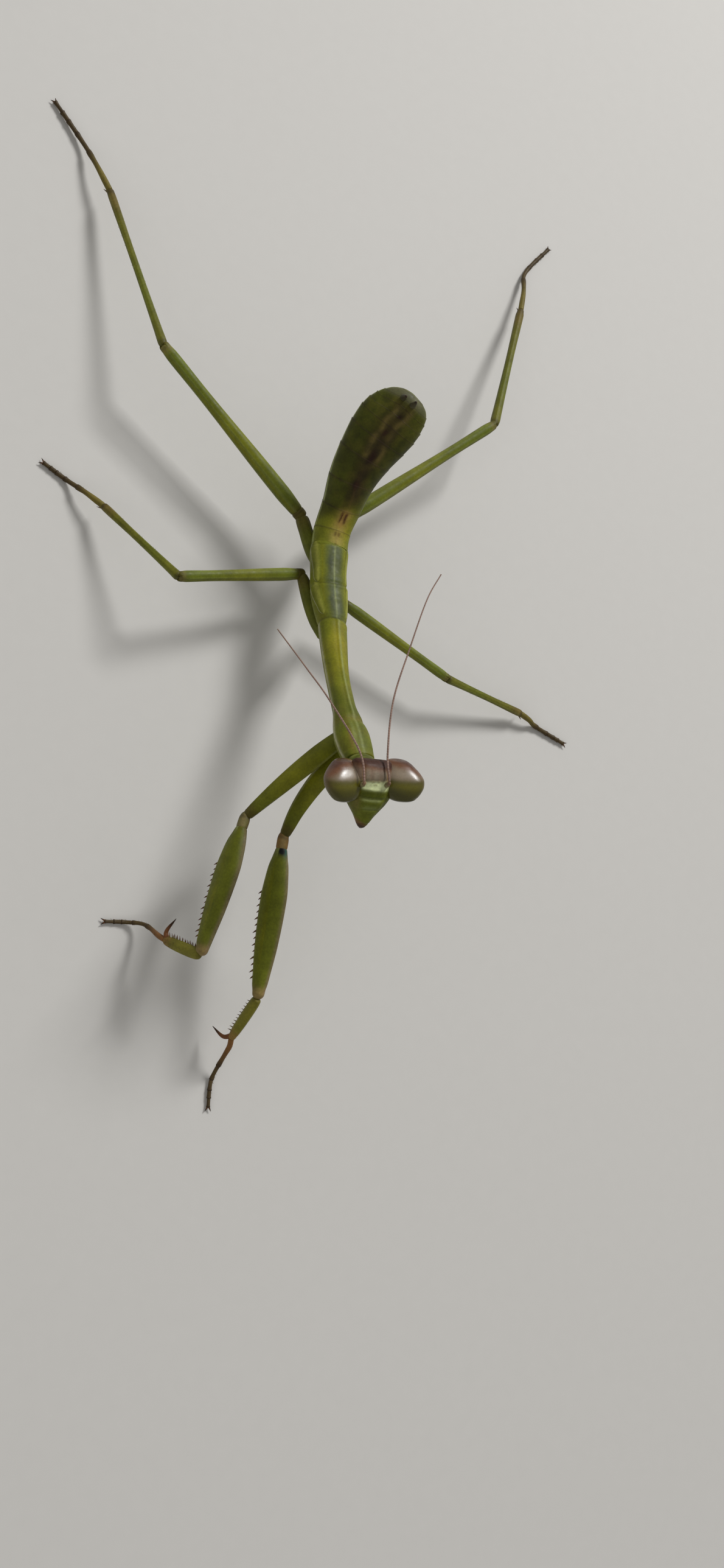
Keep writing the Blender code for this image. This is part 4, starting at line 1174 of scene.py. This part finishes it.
def spotted_thigh_marks(share, turn):
    """The left thigh shows a black spot with a blue-green rim, close to its root."""
    spot = np.clip(1.5 * hump(share, 0.040, 0.028) * hump(turn, 5.72, 0.60), 0, 1)
    return [
        *arm_thigh_marks(share, turn),
        (SPOT_RIM, 0.85 * hump(share, 0.040, 0.034) * hump(turn, 5.05, 0.45)),
        (SPOT_BLACK, 0.99 * spot),
    ]


def foreleg(name, root, elbow, knee, ankle, claw, inner, bow, foot_points, hinge_colour):
    points = (root, elbow, knee, ankle, claw, inner, bow)
    root, elbow, knee, ankle, claw, inner, bow = (np.array(point, float) for point in points)
    coxa_way, thigh_way, shin_way = unit(elbow - root), unit(knee - elbow), unit(ankle - knee)
    inner = unit(inner - thigh_way * (inner @ thigh_way))
    catch = unit(-thigh_way + shin_way * (thigh_way @ shin_way))
    coxa_line = [
        np.array(TRUNK_SHOULDER) + (root - TRUNK_SHOULDER) * (0.45, 0.8, 0.0),
        root + UP * 0.05,
        between(root, elbow, 0.33) + bow * 0.87,
        between(root, elbow, 0.66) + bow * 0.87,
        elbow - coxa_way * 0.02,
    ]
    coxa = limb(coxa_line, ARM_COXA_SIZES, inner, ARM_GREEN, ARM_COXA_MARKS, steps=24, count=44,
                corner=0.92, blunt=1.0, shape=ridges(ARM_COXA_EDGES, 0.06, 0.18))
    hinge_line = [
        elbow - coxa_way * 0.45,
        elbow - coxa_way * 0.05,
        elbow + thigh_way * 0.35,
        elbow + thigh_way * 1.1,
    ]
    hinge = limb(hinge_line, ARM_HINGE_SIZES, inner, hinge_colour, arm_hinge_marks, steps=14,
                 count=36, blunt=1.0)
    thigh_line = [
        elbow + thigh_way * 0.60,
        between(elbow, knee, 0.35),
        between(elbow, knee, 0.7),
        knee + thigh_way * 0.05,
    ]
    thigh_sizes = [*ARM_THIGH_ROOT, *scaled(ARM_THIGH_SHARES, ARM_HALF_WIDTH, ARM_HALF_DEPTH)]
    marks = spotted_thigh_marks if name == "foreleg_left" else arm_thigh_marks
    thigh = limb(thigh_line, thigh_sizes, inner, ARM_GREEN, marks, steps=40, count=84,
                 corner=0.95, blunt=1.0, shape=arm_thigh_shape)
    shin_line = [knee - shin_way * 0.05, between(knee, ankle, 0.5), ankle - shin_way * 0.02]
    lower = limb(shin_line, ARM_SHIN_SIZES, catch, ARM_SHIN, ARM_SHIN_MARKS, steps=30, count=40,
                 corner=0.95, shape=ridges(ARM_SHIN_EDGES, 0.04, 0.2, 0.04))
    foot_points = [ankle - shin_way * 0.1, *foot_points]
    shells = [coxa, hinge, thigh, lower]
    leg_piece(name, shells, knee, ankle, foot_points, ARM_FOOT_RADIUS, ARM_FOOT)
    hook_line = [ankle - shin_way * 0.35, between(ankle, claw, 0.35) + shin_way * 0.2, claw]
    hook = limb(hook_line, HOOK_SIZES, catch, CLAW_BROWN, HOOK_MARKS, steps=20, count=24)
    piece_of(f"{name}_claw", [hook], tarsus_cuticle)

    start, aside = elbow + thigh_way * 0.72, np.cross(inner, thigh_way)
    for row, count, first, last in THIGH_SPINES:
        for number, share in enumerate(np.linspace(first, last, count)):
            depth = ARM_HALF_DEPTH * eased(SPINE_DEPTHS, np.array([share]))[0, 0]
            base = between(start, knee, share) + inner * depth * 0.80
            base = base + aside * row * ARM_HALF_WIDTH * 0.45
            aim = unit(inner + thigh_way * 0.62 + aside * row * 0.35)
            length = LONG_SPINE if row < 0 else (MIDDLE_SPINE, SHORT_SPINE)[number % 2]
            spine_roots.append((base, aim, thigh_way, (SPINE_HALF, SPINE_HALF, length)))
    aside = np.cross(catch, shin_way)
    for row, count, first, last in SHIN_SPINES:
        for share in np.linspace(first, last, count):
            base = between(knee, ankle, share) + catch * 0.27 + aside * row * 0.16
            aim = unit(catch + shin_way * 0.45 + aside * row * 0.2)
            spine_roots.append((base, aim, shin_way, SHIN_SPINE_SIZE))


for leg_name, measures in FORELEGS.items():
    foreleg(leg_name, *measures)

# ---------------------------------------------------------------- spines
# Hard dark-tipped spines stand in rows on the catching legs, and smaller spurs end the shins.
# Each grows out of the shell at a slant, towards the leg's far end.

SPINE_RINGS, SPINE_SIDES, THORN_TAPER, THINNEST = 7, 8, 0.75, 0.02
SPUR_SIZE = (0.075, 0.075, 0.52)
SPINE_GREEN = (0.17, 0.14, 0.035)
SPINE_TIP = (0.085, 0.028, 0.014)


def row_of_copies():
    """Sets one copy of a small shape at every point, along its aim, leaned to its bend."""
    tree = bpy.data.node_groups.new("row of copies", "GeometryNodeTree")
    for name, kind in (("Points", "Geometry"), ("Copy", "Object"), ("Finish", "Material"),
                       ("Size", "Float"), ("Unevenness", "Float"), ("Seed", "Int")):
        tree.interface.new_socket(name=name, in_out="INPUT", socket_type=f"NodeSocket{kind}")
    tree.interface.new_socket(name="Row", in_out="OUTPUT", socket_type="NodeSocketGeometry")
    given = add_node(tree, "NodeGroupInput").outputs

    def stored(name):
        kind = "GeometryNodeInputNamedAttribute"
        return add_node(tree, kind, {"Name": name}, data_type="FLOAT_VECTOR").outputs["Attribute"]

    align = "FunctionNodeAlignRotationToVector"
    aim = add_node(tree, align, {"Vector": stored("aim")}, axis="Z").outputs["Rotation"]
    leant = {"Rotation": aim, "Vector": stored("bend")}
    lean = add_node(tree, align, leant, axis="X", pivot_axis="Z").outputs["Rotation"]
    ends = {0: given["Size"], 1: given["Unevenness"]}
    low = add_node(tree, "ShaderNodeMath", ends, operation="SUBTRACT").outputs[0]
    high = add_node(tree, "ShaderNodeMath", ends, operation="ADD").outputs[0]
    limits = {2: low, 3: high, "Seed": given["Seed"]}
    uneven = add_node(tree, "FunctionNodeRandomValue", limits, data_type="FLOAT").outputs[1]
    sizes = {0: stored("size"), "Scale": uneven}
    scale = add_node(tree, "ShaderNodeVectorMath", sizes, operation="SCALE").outputs["Vector"]
    shape = add_node(tree, "GeometryNodeObjectInfo", {"Object": given["Copy"]})
    placed = {
        "Points": given["Points"],
        "Instance": shape.outputs["Geometry"],
        "Rotation": lean,
        "Scale": scale,
    }
    copies = add_node(tree, "GeometryNodeInstanceOnPoints", placed).outputs["Instances"]
    real = add_node(tree, "GeometryNodeRealizeInstances", {"Geometry": copies})
    coated = {"Geometry": real.outputs["Geometry"], "Material": given["Finish"]}
    finish = add_node(tree, "GeometryNodeSetMaterial", coated)
    add_node(tree, "NodeGroupOutput", {"Row": finish.outputs["Geometry"]})
    return tree


copies_tree = row_of_copies()
copies_inputs = {
    item.name: item.identifier
    for item in copies_tree.interface.items_tree
    if item.in_out == "INPUT"
}


def plain_mesh(piece, name):
    """Keeps what a piece's nodes make as its own mesh, and takes the nodes away."""
    bpy.context.view_layer.update()
    made_piece = piece.evaluated_get(bpy.context.evaluated_depsgraph_get())
    made = bpy.data.meshes.new_from_object(made_piece)
    made.name = name
    piece.modifiers.clear()
    piece.data = made
    made.shade_smooth()


def pattern(name, shell):
    """One small shape in millimetre units, to be copied by the nodes and then removed."""
    points, faces, tints = shell
    shape = bpy.data.objects.new(name, mesh_of(name, [(points + CENTRE_OF_BOX, faces, tints)]))
    bpy.context.scene.collection.objects.link(shape)
    return shape


def row_piece(name, roots, shape, finish, nodes, unevenness, seed):
    """A piece made of copies. Each root is (place, aim, bend, sizes along the copy's axes)."""
    places, aims, bends, sizes = zip(*roots)
    mesh = bpy.data.meshes.new(name)
    mesh.from_pydata(((np.array(places) - CENTRE_OF_BOX) * MM).tolist(), [], [])
    for attribute, values in (("aim", aims), ("bend", bends), ("size", sizes)):
        stored = mesh.attributes.new(attribute, "FLOAT_VECTOR", "POINT")
        stored.data.foreach_set("vector", np.asarray(values, np.float32).ravel())
    piece = bpy.data.objects.new(name, mesh)
    bpy.context.scene.collection.objects.link(piece)
    modifier = piece.modifiers.new("row of copies", "NODES")
    modifier.node_group = copies_tree
    modifier[copies_inputs["Copy"]] = shape
    modifier[copies_inputs["Finish"]] = finish
    modifier[copies_inputs["Size"]] = 1.0
    modifier[copies_inputs["Unevenness"]] = unevenness
    modifier[copies_inputs["Seed"]] = seed
    plain_mesh(piece, name)
    stands_for(piece, finish, nodes)


def upright(heights, radii, sides, shifts=0.0):
    """Rings of points that stand along +Z, each ring shifted towards +X."""
    turn = turns(sides)
    across, inwards = shifts + radii * np.cos(turn), radii * np.sin(turn)
    return np.stack(np.broadcast_arrays(across, inwards, heights), -1)


def thorn(curve, colour, tip, dark_from, rings=SPINE_RINGS, sides=SPINE_SIDES):
    """A thorn of unit length and half width 1, which bends towards +X by its curve."""
    share = np.linspace(0, 1, rings)[:, None]
    radii = np.maximum((1 - share) ** THORN_TAPER, THINNEST)
    grid = upright(share, radii, sides, curve * share**2)
    return shell_of(grid, painted(colour, (rings, sides), [(tip, step(share, dark_from, 0.3))]))


spine_shape = pattern("one_spine", thorn(0.6, SPINE_GREEN, SPINE_TIP, 0.35))
for leg_name in WALKING_LEGS:
    knee, ankle, _ = leg_axes[leg_name]
    shin = unit(ankle - knee)
    aside = unit(np.cross(shin, UP))
    for way in (-1, 1):
        base = ankle - shin * 0.12 + aside * way * 0.16 - UP * 0.12
        aim = unit(shin + aside * way * 0.35 - UP * 0.35)
        spine_roots.append((base, aim, aside * way, SPUR_SIZE))
row_piece("spines", spine_roots, spine_shape, tarsus_cuticle, (), 0.08, 5)

# ---------------------------------------------------------------- claws
# Every foot ends in two small claws of hard dark cuticle. They spread from the end of the last
# joint, where they are rooted, and curve down to grip.

CLAW_SIZE = (0.075, 0.075, 0.36)

claw_shape = pattern("one_claw", thorn(0.9, CLAW_BROWN, DARK_BROWN, 0.3))
claw_points = []
for place, ahead in claw_roots:
    aside = unit(np.cross(ahead, UP))
    for way in (-1, 1):
        aim = unit(ahead + aside * way * 0.55 + UP * 0.10)
        claw_points.append((place + aside * way * 0.06, aim, -UP, CLAW_SIZE))
row_piece("foot_claws", claw_points, claw_shape, tarsus_cuticle, (), 0.0, 2)

# ---------------------------------------------------------------- bristles
# Short fine bristles stand all over the shins and feet, and lean towards the foot. Each grows
# from its own pit in the shell.

BRISTLE_SIZE = (0.011, 0.011, 0.17)
SHIN_BRISTLES, FOOT_BRISTLES = 70, 34
WALKING_SHIN_HALF, ARM_SHIN_HALF, FOOT_HALF = 0.26, 0.31, 0.145
BRISTLE_BROWN = (0.11, 0.085, 0.03)
BRISTLE_TIP = (0.07, 0.045, 0.02)

bristle_shape = pattern("one_bristle", thorn(0.3, BRISTLE_BROWN, BRISTLE_TIP, 0.5, 4, 4))
chance = np.random.default_rng(11)
bristle_roots = []
for leg_name, (knee, ankle, foot_path) in leg_axes.items():
    shin_half = WALKING_SHIN_HALF if leg_name in WALKING_LEGS else ARM_SHIN_HALF
    shin_row = (np.array([knee, ankle]), shin_half, SHIN_BRISTLES)
    for line, radius, number in (shin_row, (foot_path, FOOT_HALF, FOOT_BRISTLES)):
        for share in chance.uniform(0.08, 0.92, number):
            place, next_place = resampled(line, np.array([share, share + 0.03]))
            along = unit(next_place - place)
            first_side = unit(np.cross(along, UP))
            around = chance.uniform(-0.5, np.pi + 0.5)
            second_side = np.cross(first_side, along)
            outwards = first_side * np.cos(around) + second_side * np.sin(around)
            base = place + outwards * radius * 0.86
            bristle_roots.append((base, unit(outwards + along * 0.9), along, BRISTLE_SIZE))
row_piece("bristles", bristle_roots, bristle_shape, tarsus_cuticle, (), 0.25, 7)

# ---------------------------------------------------------------- feelers
# Two long feelers grow from round sockets between the eyes. A thick first joint and a small
# second one carry a thread of more than a hundred tiny barrel-shaped rings.

FEELER_ROUTES = {
    "antenna_right": (
        RIGHT_SOCKET,
        ((-2.95, -15.1, 16.2), (-4.68, -11.65, 15.2), (-6.07, -9.6, 14.7), (-8.0, -7.0, 14.2)),
    ),
    "antenna_left": (
        LEFT_SOCKET,
        ((-0.9, -15.2, 16.3), (0.10, -11.22, 15.2), (1.72, -7.18, 14.6), (3.41, -3.34, 14.0),
         (4.77, -1.19, 13.6)),
    ),
}
RING_LENGTH, BASE_LENGTH, THREAD_START, THREAD_END = 0.20, 0.62, 0.075, 0.045
BARREL_RADII, BARREL_SIDES, BARREL_REACH = (0.84, 0.94, 0.98, 1.0, 1.02, 0.86), 12, 1.06
SCAPE_RADII = ((0, 0.15), (0.3, 0.17), (0.85, 0.16), (1, 0.12))
PEDICEL_RADII = ((0, 0.09), (0.6, 0.125), (1, 0.09))
BASE_STOPS = (0.0, 0.25, 0.55, 0.78, 1.04)  # shares of the base's length
FEELER_PINK = (0.255, 0.165, 0.130)
RING_BROWN = (0.13, 0.07, 0.05)
SCAPE_OLIVE = (0.20, 0.17, 0.08)
PEDICEL_BROWN = (0.20, 0.12, 0.07)

barrel_radii = np.array(BARREL_RADII)[:, None]
barrel_share = np.linspace(0, 1, len(BARREL_RADII))[:, None]
barrel_grid = upright(barrel_share * BARREL_REACH, barrel_radii, BARREL_SIDES)
barrel_marks = [(RING_BROWN, 0.5 * hump(barrel_share, 0.0, 0.25))]
barrel_coat = painted(FEELER_PINK, barrel_grid.shape[:2], barrel_marks)
barrel = pattern("one_ring", shell_of(barrel_grid, barrel_coat))

for name, ((socket_across, socket_down), route) in FEELER_ROUTES.items():
    root = head_point(socket_across, socket_down + 0.08, 1.24)
    bend = head_point(socket_across * 1.02, socket_down - 0.30, 1.64)
    line = smooth_path([root, bend, *route], 60)
    length = travelled(line)[-1]
    first = BASE_LENGTH / length
    count = int((length * (1 - first)) / RING_LENGTH)
    places = resampled(line, np.linspace(first, 1, count + 1))
    steps = np.diff(places, axis=0)
    thickness = np.linspace(THREAD_START, THREAD_END, count)
    sizes = np.stack([thickness, thickness, np.linalg.norm(steps, axis=1)], 1)
    rings = [(place, way, UP, size) for place, way, size in zip(places, unit(steps), sizes)]
    row_piece(f"{name}_thread", rings, barrel, tarsus_cuticle, [name], 0.0, 1)
    start = resampled(line, np.array(BASE_STOPS) * first)
    scape_line = [start[0] - unit(start[1] - start[0]) * 0.12, *start[1:3]]
    scape = limb(scape_line, rounded(SCAPE_RADII), head_front, SCAPE_OLIVE, steps=10, count=24)
    pedicel = limb(start[2:], rounded(PEDICEL_RADII), head_front, PEDICEL_BROWN, steps=8, count=20)
    piece_of(f"{name}_base", [scape, pedicel], tarsus_cuticle)

# ---------------------------------------------------------------- tail feelers
# Two short ringed feelers of soft olive cuticle stand up from the back of the abdomen's end,
# one on each side, each rooted in the last ring.

CERCUS_TIPS = {"cercus_right": (1, (1.5, 11.2, 14.87)), "cercus_left": (-1, (2.35, 10.95, 14.93))}
CERCUS_SHARE, CERCUS_RINGS, RING_GROOVE = 0.72, 9, 0.035
CERCUS_RADII = ((0, 0.24), (0.4, 0.23), (1, 0.09))

olive_cuticle = cuticle("olive cuticle", 0.50, 22000, 0.6e-5, blotch=0.26)
cercus_end, cercus_way = abdomen_axis[-1], unit(abdomen_axis[-1] - abdomen_axis[-2])
cercus_side = unit(np.cross(UP, cercus_way))
cercus_up = np.cross(cercus_way, cercus_side)


def ring_borders(share):
    return np.abs(np.cos(share * np.pi * CERCUS_RINGS))


def cercus_shape(offsets, share, turn):
    return lifted(offsets, -RING_GROOVE * ring_borders(share) ** 6 + 0 * turn)


def cercus_marks(share, turn):
    return [(DARK_BROWN, 0.4 * ring_borders(share) ** 4 + 0.6 * share)]


for name, (way, tip) in CERCUS_TIPS.items():
    root = cercus_end - cercus_way * 0.75 + cercus_side * way * 0.38 + cercus_up * 0.1
    tip = between(root, tip, CERCUS_SHARE)
    line = [root, between(root, tip, 0.5) + cercus_side * way * 0.05, tip]
    shell = limb(line, rounded(CERCUS_RADII), UP, GREY_GREEN, cercus_marks, steps=40, count=24,
                 shape=cercus_shape)
    piece_of(name + "_skin", [shell], olive_cuticle, [name])

for shape in (spine_shape, claw_shape, bristle_shape, barrel):
    bpy.data.objects.remove(shape)
